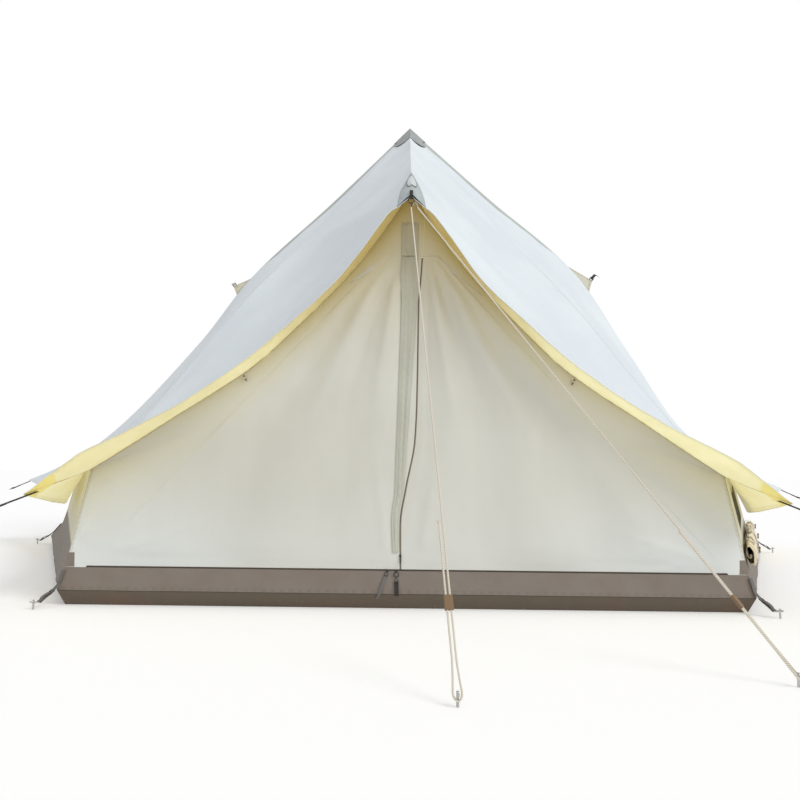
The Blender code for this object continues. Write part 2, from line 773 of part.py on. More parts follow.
def pole_profile(radius, length, socket, spigot):
    """Half outline of a pole section: a foot or a bore for the last one's spigot below, a spigot above."""
    bore = radius - POLE_WALL
    if socket:
        outline = [(0.0, SPIGOT_LENGTH + SLIDE_GAP), (bore, SPIGOT_LENGTH + SLIDE_GAP), (bore, 0.0), (radius, 0.0)]
    else:
        sleeve = radius + 0.005
        outline = [(0.0, 0.0), (FOOT_RADIUS, 0.0), (FOOT_RADIUS, 0.006), (sleeve, 0.012), (sleeve, FOOT_HEIGHT),
                   (radius, FOOT_HEIGHT)]
    outline.append((radius, length))
    if spigot:
        peg = bore - SLIDE_GAP
        outline += [(peg, length), (peg, length + SPIGOT_LENGTH), (0.0, length + SPIGOT_LENGTH)]
    else:
        outline += [(PIN_RADIUS, length + PIN_RADIUS), (PIN_RADIUS, length + PIN_LENGTH), (0.0, length + PIN_LENGTH)]
    return outline


def build_pole(names, x, y, radius, bottom, top):
    """Make the sections of one upright pole between two heights; its pin reaches the top."""
    body = top - PIN_LENGTH - bottom
    share = body / len(names)
    for i, name in enumerate(names):
        first = i == 0
        last = i == len(names) - 1
        start = bottom + share * i + (0.0 if first else GAP)
        length = share - (0.0 if first else GAP)
        profile = pole_profile(radius, length, not first, not last)
        finish(name, turned(profile, (x, y, start)), "pole", smooth_angle=40)


def build_poles(probe):
    """Make both poles, each standing on its foot."""
    stand = FLOOR_THICKNESS + GAP
    peak_top = PEAK + CAP_LIFT + CAP_THICKNESS - GAP - PIN_RADIUS * CAP_STEEPNESS
    build_pole(["centre_pole_lower", "centre_pole_upper"], 0.0, 0.0, CENTRE_POLE_RADIUS, stand, peak_top)
    ridge_under = CENTRE_RIDGE.point(FRONT_POLE_REACH, depth=CLOTH * MITRE).z
    front_top = min(ridge_under, min(probe.under(dx, -FRONT_POLE_REACH + dy)
                                     for dx in (-PIN_RADIUS, PIN_RADIUS) for dy in (-PIN_RADIUS, PIN_RADIUS)))
    build_pole(["front_pole"], 0.0, -FRONT_POLE_REACH, FRONT_POLE_RADIUS, stand, front_top - GAP)


def hinge_x(height):
    """Distance of a door's hinge line from the middle at a height."""
    share = (height - HINGE_BOTTOM[1]) / (HINGE_TOP[1] - HINGE_BOTTOM[1])
    return blend(HINGE_BOTTOM[0], HINGE_TOP[0], share)


HINGE_SLOPE = math.hypot(HINGE_BOTTOM[0] - HINGE_TOP[0], HINGE_TOP[1] - HINGE_BOTTOM[1]) \
    / (HINGE_TOP[1] - HINGE_BOTTOM[1])
HINGE_SIDE = HINGE_GAP / 2 * HINGE_SLOPE


def zip_x(height):
    """Where the upright zip is at a height."""
    return interpolate(ZIP_LINE, height)


def plate(name, outline, stuff):
    """Thin piece from a ring of (outer, inner) points, cut into the same triangles on both sides."""
    count = len(outline)
    flat = [Vector((entry[0].x, entry[0].z)) for entry in outline]
    border = [(i, (i + 1) % count) for i in range(count)]
    triangles = delaunay_2d_cdt(flat, border, [], 1, 1e-6)[2]
    shape = bmesh.new()
    outer = [shape.verts.new(entry[0]) for entry in outline]
    inner = [shape.verts.new(entry[1]) for entry in outline]
    for corners in triangles:
        shape.faces.new([outer[i] for i in corners])
        shape.faces.new([inner[i] for i in reversed(corners)])
    for i, j in border:
        shape.faces.new([outer[j], outer[i], inner[i], inner[j]])
    return finish(name, shape, stuff)


def build_front_walls(probe):
    """Make the fixed parts of the front wall, between the doors, the roof and the corners."""
    inward = Vector((0, CLOTH, 0))
    for mirror, name in ((-1, "front_wall_left"), (1, "front_wall_right")):
        corner = HIPS["front_right"] if mirror > 0 else HIPS["front_left"]
        side = side_of(corner, (0, -1, 0))
        outline = []
        for height in (MUD_WALL_TOP + GAP, (MUD_WALL_TOP + WALL_TOP) / 2, WALL_TOP - CLOTH):
            outer = corner.wall_point(height, side)
            inner = corner.wall_point(height, side, CLOTH * MITRE)
            outline.append((outer, inner))
        outline[-1] = top_entry(outline[-1], probe.under)
        zip_top = 1.70
        middle_x = zip_x(zip_top) + mirror * GAP / 2
        stations = [1.32, 1.24, 1.15, 1.06, 0.96, 0.86, 0.75, 0.64, 0.53, 0.42, 0.31, 0.20]
        if mirror > 0:
            stations.append(middle_x)
        else:
            stations += [0.10, 0.05, 0.0, -middle_x / 2, -middle_x]
        for x in stations:
            place = front_seam_point(abs(x))
            y = place.y
            height = min(probe.under(mirror * x, y), probe.under(mirror * x, y + CLOTH)) - WALL_SEAM_GAP
            outer = Vector((mirror * x, y, height))
            outline.append((outer, outer + inward))
        top_x = zip_x(LEAF_TOP) + mirror * GAP / 2
        leaf_x = mirror * (hinge_x(LEAF_TOP) + HINGE_SIDE)
        foot_x = mirror * (hinge_x(MUD_WALL_TOP + GAP) + HINGE_SIDE)
        for x, height in ((top_x, LEAF_TOP), (leaf_x, LEAF_TOP), (foot_x, MUD_WALL_TOP + GAP)):
            outer = Vector((x, DOOR_Y, height))
            outline.append((outer, outer + inward))
        plate(name, outline, "wall")


def fold(share, height):
    """How far a door bulges outwards, in folds that fan down from its top."""
    edge = max(min(1.0, 6 * share, 6 * (1 - FLAT_SHARE - share)), 0.0)
    low = min(1.0, (height - MUD_WALL_TOP) / 0.10, (LEAF_TOP - height) / 0.15)
    wave = 0.5 - 0.5 * math.cos(math.tau * FOLD_COUNT * share * 0.5 + 3.0 * height)
    return FOLD_DEPTH * wave * edge * max(low, 0.0)


def leaf_shares():
    """Columns of a door leaf, as shares of its width from the hinge."""
    return [k / LEAF_COLUMNS for k in range(LEAF_COLUMNS)] + [1 - FLAT_SHARE, 1.0]


def leaf_rows(mirror):
    """Grid of one door leaf, from the sill up."""
    low = MUD_WALL_TOP + GAP + BOTTOM_ZIP_HEIGHT + LEAF_SILL_GAP
    high = LEAF_TOP - LEAF_TOP_GAP
    count = LEAF_ROWS
    rows = []
    for i in range(count + 1):
        height = blend(low, high, i / count)
        start = mirror * (hinge_x(height) - HINGE_SIDE)
        end = zip_x(height) + mirror * (ZIP_WIDTH / 2 + (GAP if mirror > 0 else 0.0))
        row = []
        for share in leaf_shares():
            bulge = fold(share, height)
            outer = Vector((blend(start, end, share), DOOR_Y - bulge, height))
            row.append((outer, outer + Vector((0, CLOTH, 0))))
        rows.append(row)
    return rows


def build_doors():
    """Make both leaves and the flap over the zip."""
    for mirror, name in ((-1, "door_left"), (1, "door_right")):
        sheet = Sheet()
        sheet.grid(leaf_rows(mirror))
        origin = (mirror * HINGE_BOTTOM[0], DOOR_Y, HINGE_BOTTOM[1])
        shapes = [sheet.solid()]
        if mirror < 0:
            shapes.append(upright_zip())
        fuse(name, shapes, "wall", origin=origin, smooth_angle=40)
    rows = []
    count = 12
    for i in range(count + 1):
        height = blend(FLAP_BOTTOM, LEAF_TOP - 0.02, i / count)
        right = min(zip_x(height), slider_x(height)) - SLIDER[0] / 2 - SLIDE_GAP * 2
        width = blend(FLAP_WIDTH_LOW, FLAP_WIDTH_HIGH, i / count)
        row = []
        for share in (0.0, 0.5, 1.0):
            bulge = 0.004 * math.sin(math.pi * share)
            base = flap_clearance(height, right - width, right)
            outer = Vector((blend(right - width, right, share), DOOR_Y - base - GAP - CLOTH / 2 - bulge, height))
            row.append((outer, outer + Vector((0, CLOTH / 2 + bulge, 0))))
        rows.append(row)
    sheet = Sheet()
    sheet.grid(rows)
    origin = (-HINGE_BOTTOM[0], DOOR_Y, HINGE_BOTTOM[1])
    finish("storm_flap", sheet.solid(), "wall", origin=origin, smooth_angle=40)


def flap_clearance(height, left, right):
    """Largest bulge of the left door under the flap, near a height."""
    worst = 0.0
    shares = leaf_shares()
    for level in range(-6, 7):
        near = min(max(height + 0.02 * level, MUD_WALL_TOP + 0.01), LEAF_TOP - LEAF_TOP_GAP)
        start = -(hinge_x(near) - HINGE_SIDE)
        end = zip_x(near) - ZIP_WIDTH / 2
        for k in range(9):
            x = blend(left, right, k / 8)
            share = min(max((x - start) / (end - start), 0.0), 1.0)
            after = next(i for i in range(1, len(shares)) if shares[i] >= share)
            low, high = shares[after - 1], shares[after]
            worst = max(worst, blend(fold(low, near), fold(high, near), (share - low) / (high - low)))
    return worst


def slider_x(height):
    """Straight path of the upright zip's slider."""
    low = zip_x(SLIDER_LOW)
    high = zip_x(SLIDER_HIGH)
    return blend(low, high, (height - SLIDER_LOW) / (SLIDER_HIGH - SLIDER_LOW)) - SLIDE_GAP


def upright_zip():
    """The upright zip, sewn to the edge of the left door."""
    sheet = Sheet()
    rows = []
    for outer_row in leaf_rows(-1):
        height = outer_row[0][0].z
        row = []
        for offset in (-ZIP_WIDTH / 2 - 0.0015, ZIP_WIDTH / 2):
            outer = Vector((zip_x(height) + offset, DOOR_Y + (CLOTH - ZIP_THICKNESS) / 2, height))
            row.append((outer, outer + Vector((0, ZIP_THICKNESS, 0))))
        rows.append(row)
    rows[0] = [(outer + Vector((0, 0, 0.001)), inner + Vector((0, 0, 0.001))) for outer, inner in rows[0]]
    rows[-1] = [(outer - Vector((0, 0, 0.001)), inner - Vector((0, 0, 0.001))) for outer, inner in rows[-1]]
    sheet.grid(rows)
    return sheet.solid()


def build_zips():
    """Make the three zip sliders and their pulls."""
    front = DOOR_Y - GAP
    place = Vector((slider_x(SLIDER_LOW), front - SLIDER[1] / 2, SLIDER_LOW))
    finish("zip_slider_vertical", box(SLIDER, place, bevel=0.001), "steel", origin=place)
    pull_top = place + Vector((0, -SLIDER[1] / 2 - GAP, -SLIDER[2] / 2 + 0.003))
    end = pull_top - Vector((0, 0, RING_PULL_LENGTH))
    shape = strap(pull_top - Vector((0, PULL[1] / 2, 0)), end - Vector((0, PULL[1] / 2, 0)), (1, 0, 0), 0.007, PULL[1])
    finish("zip_pull_vertical", shape, "steel", origin=pull_top - Vector((0, PULL[1] / 2, 0)))
    lean = math.atan2(END_INSETS[0] + BAND_SEAM_OUTSET, MUD_WALL_TOP - BAND_SEAM_HEIGHT)
    for name, x in zip(("left", "right"), BOTTOM_SLIDER_X):
        top = MUD_WALL_TOP + GAP + BOTTOM_ZIP_HEIGHT
        place = Vector((x, front - SLIDER[1] / 2, top - SLIDER[2] / 2))
        place.y -= math.tan(lean) * (MUD_WALL_TOP - (top - SLIDER[2]))
        pivot = place + Vector((0, -SLIDER[1] / 2 - PULL[1] / 2 + 0.001, -SLIDER[2] / 2 + 0.004))
        reach = Vector((0, -math.sin(lean), -math.cos(lean))) * PULL[2]
        shapes = [box(SLIDER, place, bevel=0.001), strap(pivot, pivot + reach, (1, 0, 0), PULL[0] - 0.002, PULL[1])]
        fuse("zip_slider_" + name, shapes, "steel", origin=place)


class EaveStrap:
    """Webbing sewn under an eave corner, straight on along its seam, with a ring at its end."""

    def __init__(self, seam, probe):
        inboard = seam.eave_radius - STRAP_INBOARD
        slope = (seam.height(seam.eave_radius) - seam.height(seam.eave_radius - 0.05)) / 0.05
        lows = []
        for step in range(5):
            radius = blend(inboard, seam.eave_radius - 0.001, step / 4)
            for side in (-1, 0, 1):
                place = seam.along * radius + seam.across * (side * WEBBING_WIDTH / 2)
                lows.append(probe.under(place.x, place.y) - slope * (radius - inboard))
        level = min(lows) - (GAP + WEBBING_THICKNESS / 2) * math.hypot(1, slope)
        self.across = seam.across
        self.start = seam.along * inboard + Vector((0, 0, level))
        self.direction = (seam.along + Vector((0, 0, slope))).normalized()
        self.end = self.start + self.direction * (STRAP_INBOARD + STRAP_LENGTH)
        self.ring_middle = self.end + self.direction * (RING_RADIUS - 0.0005)

    def shapes(self):
        """The webbing and its ring."""
        return [strap(self.start, self.end, self.across), ring(self.ring_middle, self.across, self.direction)]

    def cord_start(self):
        """Where a cord of the eave guys' size leaves the ring."""
        return self.ring_middle + self.direction * (RING_RADIUS + RING_WIRE + GUY_RADIUS * 0.3 + GAP)


def build_corner_fittings(probe):
    """Make the straps, loops, rings and pegs of the six corners, and the pegs of the ropes."""
    for name, seam in HIPS.items():
        fuse("eave_strap_" + name, EaveStrap(seam, probe).shapes(), "webbing")
        top = seam.wall_point(CORNER_LOOP_TOP) + seam.along * 0.0015
        foot_end = seam.along * (seam.floor_radius + CORNER_LOOP_REACH) + Vector((0, 0, CORNER_LOOP_END))
        centre = foot_end + seam.along * (RING_RADIUS - 0.0005)
        peg_at = centre + seam.along * (RING_RADIUS - 0.001)
        shapes = [strap(top, foot_end, seam.across), ring(centre, (0, 0, 1), seam.along), peg(peg_at, seam.along)]
        fuse("corner_peg_" + name, shapes, "webbing")
    for name, (x, y) in zip(("left", "right"), ROPE_PEGS):
        away = Vector((x - ROPE_START[0], y - ROPE_START[1], 0)).normalized()
        finish("rope_peg_" + name, peg(Vector((x, y, 0)), away), "steel", smooth_angle=60)
    for name in ("front_left", "front_right"):
        seam = HIPS[name]
        shape = peg(seam.along * GUY_PEG_RADIUS, seam.along)
        finish("guy_peg_" + name.split("_")[1], shape, "steel", smooth_angle=60)


def peg(place, away):
    """Part of a peg above the ground, with its hook turned away from the pull."""
    base = Vector((place.x, place.y, 0.0))
    up = Vector((0, 0, 1))
    bend = 0.008
    path = [base, base + up * (PEG_HEIGHT - bend)]
    for step in range(1, 5):
        angle = math.pi * 0.75 * step / 4
        path.append(base + up * (PEG_HEIGHT - bend + bend * math.sin(angle)) + away * (bend * (1 - math.cos(angle))))
    return tube(path, PEG_RADIUS, 8)


def build_tip_fittings():
    """Make the strap, the ring and the clip that hold the ropes under the boot."""
    x, rope_y, rope_z = ROPE_START
    ring_y = -AWNING_REACH - GAP - RING_WIRE
    strap_y = -AWNING_REACH - GAP - WEBBING_THICKNESS / 2
    bottom = rope_z + ROPE_RADIUS * ROPE_END_RISE + GAP
    top = TIP_RING_HEIGHT - RING_RADIUS
    back = ring_y + RING_WIRE
    front = rope_y - CLIP_MARGIN
    middle = (x + ROPE_STARTS_APART / 2, (front + back) / 2, (top + bottom) / 2)
    strap_low = TIP_RING_HEIGHT + RING_RADIUS
    shapes = [box((CLIP_WIDTH, back - front, top - bottom), middle, bevel=0.003),
              ring((x, ring_y, TIP_RING_HEIGHT), (0, 1, 0), (0, 0, 1)),
              strap((x, strap_y, strap_low), (x, strap_y, strap_low + TIP_STRAP_LENGTH), (1, 0, 0), 0.014)]
    fuse("tip_ring", shapes, "plastic")


def smooth_route(route, spacing):
    """Points along a Catmull-Rom curve through the route, about one spacing apart."""
    points = [Vector(point) for point in route]
    ends = [points[0] * 2 - points[1], *points, points[-1] * 2 - points[-2]]
    made = [points[0]]
    for i in range(1, len(ends) - 2):
        a, b, c, d = ends[i - 1:i + 3]
        steps = max(1, round((c - b).length / spacing))
        for step in range(1, steps + 1):
            t = step / steps
            curve = (b * 2 + (c - a) * t + (a * 2 - b * 5 + c * 4 - d) * t ** 2 + (b * 3 - a - c * 3 + d) * t ** 3)
            made.append(curve * 0.5)
    return made


def cord(name, points, radius):
    """Tube along points, as a curve with round section and filled ends."""
    curve = bpy.data.curves.new(name, "CURVE")
    curve.dimensions = "3D"
    curve.bevel_depth = radius
    curve.bevel_resolution = 2
    curve.use_fill_caps = True
    spline = curve.splines.new("POLY")
    spline.points.add(len(points) - 1)
    for vertex, point in zip(spline.points, points):
        vertex.co = (*point, 1.0)
    curve.materials.append(material("rope"))
    thing = bpy.data.objects.new(name, curve)
    bpy.context.collection.objects.link(thing)
    return thing


class Guy:
    """A taut cord from a fitting to a peg, round it and back beside itself."""

    def __init__(self, start, peg_place, peg_height, radius, spacing, tail, hairpin):
        self.start = Vector(start)
        self.peg = Vector((*peg_place, peg_height))
        self.radius = radius
        self.spacing = spacing
        self.tail = tail
        self.hairpin = hairpin
        level = Vector((self.start.x - self.peg.x, self.start.y - self.peg.y, 0))
        self.side = Vector((0, 0, 1)).cross(level.normalized())
        back = self.start - self.side * (-spacing / 2) - self.peg
        self.back = back.normalized()
        self.length = back.length

    def strand(self, distance, sign, spread=None):
        """Point at a distance from the peg, on the first (-1) or the returning (1) strand."""
        spread = self.spacing / 2 if spread is None else spread
        return self.peg + self.back * distance + self.side * (sign * spread)

    def route(self):
        """Route from the fitting round the peg to the free end."""
        level = math.hypot(self.back.x, self.back.y)
        contact = (PEG_RADIUS + self.radius + ROUND_PEG_GAP) / level
        wide = self.hairpin
        bend = [self.strand(5 * wide, -1, blend(self.spacing / 2, wide, 0.3)), self.strand(2 * wide, -1, wide * 0.9),
                self.strand(0, -1, wide)]
        return_bend = [self.strand(0, 1, wide), self.strand(2 * wide, 1, wide * 0.9),
                       self.strand(5 * wide, 1, blend(self.spacing / 2, wide, 0.3))]
        straight = [self.strand(self.length * share, -1) for share in (1.0, 0.7, 0.4)]
        near = [self.strand(distance, -1) for distance in (0.16, 0.10)]
        far = [self.strand(distance, 1) for distance in (0.10, 0.16, self.tail * 0.7, self.tail)]
        if self.tail < 0.16:
            near = [self.strand(0.16, -1), self.strand(0.10, -1)]
            far = [self.strand(self.tail, 1)]
        turn = [self.strand(-contact, 0)]
        return straight + near + bend + turn + return_bend + far

    def points(self):
        """Points of the tube: close together round the peg, further apart where it is straight."""
        route = self.route()
        first = route[:4]
        last = route[-3:] if self.tail >= 0.16 else []
        middle = route[3:len(route) - max(len(last) - 1, 0)]
        bent = smooth_route(middle, self.radius * 4)
        return first[:-1] + bent + last[1:]


def build_ropes(probe):
    """Make the guy ropes with their runners, and the two eave guys."""
    for index, (name, place) in enumerate(zip(("left", "right"), ROPE_PEGS)):
        start = Vector(ROPE_START) + Vector((ROPE_STARTS_APART * index, 0, 0))
        guy = Guy(start, place, ROPE_PEG_HEIGHT, ROPE_RADIUS, STRAND_SPACING, STRAND_LENGTH, HAIRPIN_RADIUS)
        cord("rope_" + name, guy.points(), ROPE_RADIUS)
        build_runner("runner_" + name, guy)
    for name in ("front_left", "front_right"):
        seam = HIPS[name]
        start = EaveStrap(seam, probe).cord_start()
        place = seam.along * GUY_PEG_RADIUS
        guy = Guy(start, (place.x, place.y), ROPE_PEG_HEIGHT, GUY_RADIUS, 0.005, 0.09, 0.0065)
        cord("eave_guy_" + name.split("_")[1], guy.points(), GUY_RADIUS)


def build_runner(name, guy):
    """Make a rope runner: a bar with a bore for each strand."""
    centre = guy.peg + guy.back * RUNNER_REST
    turn = frame_of(guy.back, guy.side)
    thing = finish(name, box(RUNNER, centre, turn, bevel=0.002), "plastic", origin=centre)
    for sign in (-1, 1):
        middle = guy.strand(RUNNER_REST, sign)
        half = guy.back * RUNNER[2]
        bore = tube([middle - half, middle + half], ROPE_RADIUS + SLIDE_GAP, 12)
        add_boolean(thing, "DIFFERENCE", f"{name}_bore_{sign}", bore)


def side_wall_place(share, height):
    """Outer side of the right front wall at a share of its length, with its outward direction."""
    start = HIPS["front_right"].wall_point(height)
    end = HIPS["right"].wall_point(height)
    up = blend(HIPS["front_right"].wall_point(height + 0.05), HIPS["right"].wall_point(height + 0.05), share)
    place = blend(start, end, share)
    outward = (end - start).cross(up - place).normalized()
    return place, outward


def build_window():
    """Make the side window: its opening, the mesh behind it and the gathered flap below."""
    wall = bpy.data.objects["side_wall_front_right"]
    low, high = WINDOW_HEIGHTS
    near, far = WINDOW_ALONG
    corners = [side_wall_place(share, height) for height in (low, high) for share in (near, far)]
    middle = sum((entry[0] for entry in corners), Vector()) / 4
    outward = corners[0][1]
    along = (corners[1][0] - corners[0][0]).normalized()
    length = (corners[1][0] - corners[0][0]).length
    rise = (corners[2][0] - corners[0][0]).length
    hole = box((length, 0.12, rise), middle, frame_of(along.cross(outward), along))
    add_boolean(wall, "DIFFERENCE", "window_hole", hole)
    sheet = Sheet(MESH_THICKNESS)
    rows = []
    border = MESH_BORDER / length
    for level in range(4):
        height = blend(low - MESH_BORDER, high + MESH_BORDER, level / 3)
        row = []
        for k in range(GORE_COLUMNS + 1):
            share = blend(near - border, far + border, k / GORE_COLUMNS)
            place, out = side_wall_place(share, height)
            outer = place - out * (CLOTH * out.xy.length + MESH_GAP)
            row.append((outer, outer - out * MESH_THICKNESS))
        rows.append(row)
    sheet.grid(rows)
    finish("window_mesh", sheet.solid(), "mesh")
    build_roll()


def roll_place(share):
    """Middle of the gathered flap at a share of the wall's length, with its outward and upward ways."""
    place, outward = side_wall_place(share, ROLL_HEIGHT)
    above, _ = side_wall_place(share, ROLL_HEIGHT + 0.05)
    upward = (above - place).normalized()
    return place, outward, upward


def roll_puff(share):
    """How full the gathered flap is at a share of the wall's length: it swells between its toggles."""
    run = (share - ROLL_ALONG[0]) / (ROLL_ALONG[1] - ROLL_ALONG[0])
    return 0.86 + 0.14 * math.cos(math.tau * 2 * run)


def build_roll():
    """Make the flap gathered along the wall, thick at its front end, between its toggles."""
    rings = 12
    sides = 10
    shape = bmesh.new()
    loops = []
    for i in range(rings + 1):
        run = i / rings
        place, outward, upward = roll_place(blend(ROLL_ALONG[0], ROLL_ALONG[1], run))
        puff = roll_puff(blend(ROLL_ALONG[0], ROLL_ALONG[1], run))
        taper = blend(1.0, 0.62, run)
        end = 0.55 if i in (0, rings) else 1.0
        tall = ROLL_HALF_HEIGHT * puff * taper * end
        deep = ROLL_HALF_DEPTH * puff * end
        centre = place + outward * (deep + GAP * 1.5)
        loop = []
        for k in range(sides):
            angle = math.tau * k / sides
            loop.append(shape.verts.new(centre + outward * (deep * math.cos(angle)) + upward * (tall * math.sin(angle))))
        loops.append(loop)
    for low, high in zip(loops, loops[1:]):
        for k in range(sides):
            shape.faces.new([low[k], low[(k + 1) % sides], high[(k + 1) % sides], high[k]])
    shape.faces.new(list(reversed(loops[0])))
    shape.faces.new(loops[-1])
    fuse("window_flap", [shape, *roll_toggles()], "wall", smooth_angle=60)


def toggle(centre, axis):
    """Barrel-shaped toggle."""
    half = TOGGLE_LENGTH / 2
    profile = [(0.0, -half), (TOGGLE_RADIUS * 0.7, -half), (TOGGLE_RADIUS, -half * 0.6), (TOGGLE_RADIUS * 0.7, 0.0),
               (TOGGLE_RADIUS, half * 0.6), (TOGGLE_RADIUS * 0.7, half), (0.0, half)]
    return turned(profile, centre, axis, steps=10)


def roll_toggles():
    """The toggles that hold the gathered flap."""
    made = []
    for run in (0.0, 0.5, 1.0):
        share = blend(ROLL_ALONG[0] + 0.06, ROLL_ALONG[1] - 0.06, run)
        place, outward, upward = roll_place(share)
        centre = place + outward * (2 * ROLL_HALF_DEPTH * roll_puff(share) - TOGGLE_RADIUS * 0.6)
        made.append(toggle(centre, upward))
    return made


def build_tabs(probe):
    """Make the pull-out tabs on the side seams, with their buckles and webbing."""
    for name in ("left", "right"):
        seam = HIPS[name]
        end = TAB_START + TAB_LENGTH
        radii = [TAB_START] + [r for r in seam.radii() if TAB_START < r < end] + [end]
        base = []
        for radius in radii:
            place = seam.along * radius
            base.append(Vector((place.x, place.y, probe.over(place.x, place.y) + GAP)))
        middle = seam.normal((TAB_START + end) / 2)
        run = (base[-1] - base[0]).normalized()
        tip_low = blend(base[0], base[-1], 0.80) + middle * TAB_TIP
        tip_high = blend(base[0], base[-1], 0.62) + middle * (TAB_TIP * 0.9)
        outline = base + [tip_low, tip_high]
        thick = seam.across * (TAB_THICKNESS / 2)
        tab = plate("pullout_tab_" + name, [(point + thick, point - thick) for point in outline], "roof")
        out = (middle + seam.along * 0.6 + Vector((0, 0, -0.1))).normalized()
        start = (tip_low + tip_high) / 2
        edge = (tip_low - tip_high).normalized()
        out = (out - edge * out.dot(edge)).normalized()
        centre = start + out * (BUCKLE[0] / 2 - 0.004)
        buckle = box((BUCKLE[1], BUCKLE[2], BUCKLE[0]), centre, frame_of(out, seam.across), bevel=0.0015)
        add_boolean(tab, "UNION", "buckle_" + name, buckle)
        web_start = start + out * (BUCKLE[0] - 0.008)
        web = strap(web_start, web_start + out * TAB_WEBBING_LENGTH, seam.across)
        add_boolean(tab, "UNION", "tab_webbing_" + name, web)


def main():
    """Build the whole tent."""
    clear_scene()
    probe = build_roof()
    build_groundsheet()
    build_low_walls(probe)
    build_front_walls(probe)
    build_peak()
    build_boot(probe)
    build_poles(probe)
    build_doors()
    build_zips()
    build_corner_fittings(probe)
    build_tip_fittings()
    build_ropes(probe)
    build_window()
    build_tabs(probe)


main()
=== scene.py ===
"""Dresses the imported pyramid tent: its cloth, cords and fittings, with a plain studio round it.

Metres, +Z up, the door faces -Y, and the origin is on the ground under the peak.
"""

import json
import logging
import math
from collections.abc import Callable, Sequence
from dataclasses import dataclass, field
from enum import Enum
from typing import Any, ClassVar

import bmesh
import bpy
import numpy as np
from mathutils import Matrix, Vector, noise
from mathutils.bvhtree import BVHTree

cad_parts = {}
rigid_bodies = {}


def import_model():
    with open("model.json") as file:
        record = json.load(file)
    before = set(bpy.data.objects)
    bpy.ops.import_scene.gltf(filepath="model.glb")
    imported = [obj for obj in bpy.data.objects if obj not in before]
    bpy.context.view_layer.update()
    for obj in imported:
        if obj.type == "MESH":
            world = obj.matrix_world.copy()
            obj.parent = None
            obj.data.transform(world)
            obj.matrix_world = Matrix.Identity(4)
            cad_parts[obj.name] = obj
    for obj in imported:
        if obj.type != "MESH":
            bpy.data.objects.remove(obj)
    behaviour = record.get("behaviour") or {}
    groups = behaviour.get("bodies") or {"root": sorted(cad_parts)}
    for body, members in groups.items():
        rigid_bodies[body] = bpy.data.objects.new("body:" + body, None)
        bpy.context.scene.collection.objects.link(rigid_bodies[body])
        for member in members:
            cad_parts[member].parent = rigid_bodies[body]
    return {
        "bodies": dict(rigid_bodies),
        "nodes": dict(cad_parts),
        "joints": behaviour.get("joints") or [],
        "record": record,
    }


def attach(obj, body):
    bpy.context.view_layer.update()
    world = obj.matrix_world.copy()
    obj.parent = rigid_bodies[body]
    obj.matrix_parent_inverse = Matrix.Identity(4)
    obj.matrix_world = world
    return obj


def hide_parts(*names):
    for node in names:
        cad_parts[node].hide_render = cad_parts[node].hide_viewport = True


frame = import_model()
LOG = logging.getLogger("tent")

Colour = tuple[float, float, float]
Pairs = tuple[tuple[float, float], ...]
Place = tuple[float, float, float]

CLOTH_THICKNESS = 0.0022
GAP = 0.0003
PEAK = 3.21
MUD_WALL_TOP = 0.16
SIDE_MUD_TOP = 0.25
BAND_SEAM_HEIGHT = 0.065
WALL_TOP = 0.58
DOOR_Y = -2.133598
AWNING_REACH = 2.27
VENT_RADIUS = 0.045
WALL_LEVEL = 12
EAVE_LEVEL = 15
SEAM_BEND = 1.06
HINGE_FOOT = 1.40
HINGE_TOP = 0.03
HINGE_RISE = 1.50
WALL_CLEARANCE = 0.004
PEG_WIRE = 0.004
FAR = 9.0
WINDOW_ALONG = (0.24, 0.70)
WINDOW_HEIGHTS = (0.30, 0.47)
THIN_CLOTH = 0.0012
SHARP_ANGLE = math.radians(55)
WELD = 0.0002


class Side(Enum):
    """Left or right of the tent, seen from the front."""

    LEFT = -1
    RIGHT = 1

    @property
    def word(self) -> str:
        """The side's name in node names."""
        return self.name.lower()


class Body(Enum):
    """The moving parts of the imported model."""

    TENT = "tent"
    DOOR_LEFT = "door_left"
    DOOR_RIGHT = "door_right"
    SLIDER = "zip_slider_vertical"
    PULL = "zip_pull_vertical"
    SLIDER_LEFT = "zip_slider_left"
    SLIDER_RIGHT = "zip_slider_right"
    RUNNER_LEFT = "runner_left"
    RUNNER_RIGHT = "runner_right"


class Border(Enum):
    """How one border of a cloth patch is held."""

    SEWN = "sewn"
    JOINED = "joined"
    FREE = "free"


SEWN, JOINED, FREE = Border
UP = Vector((0, 0, 1))
FRONT = Vector((0, -1, 0))
ACROSS = Vector((1, 0, 0))


def blend(start: Any, end: Any, share: float) -> Any:
    """Mix two numbers or vectors."""
    return start + (end - start) * share


def smooth(values: np.ndarray) -> np.ndarray:
    """Ease values from 0 to 1, held outside that range."""
    held = np.clip(values, 0.0, 1.0)
    return held * held * (3 - 2 * held)


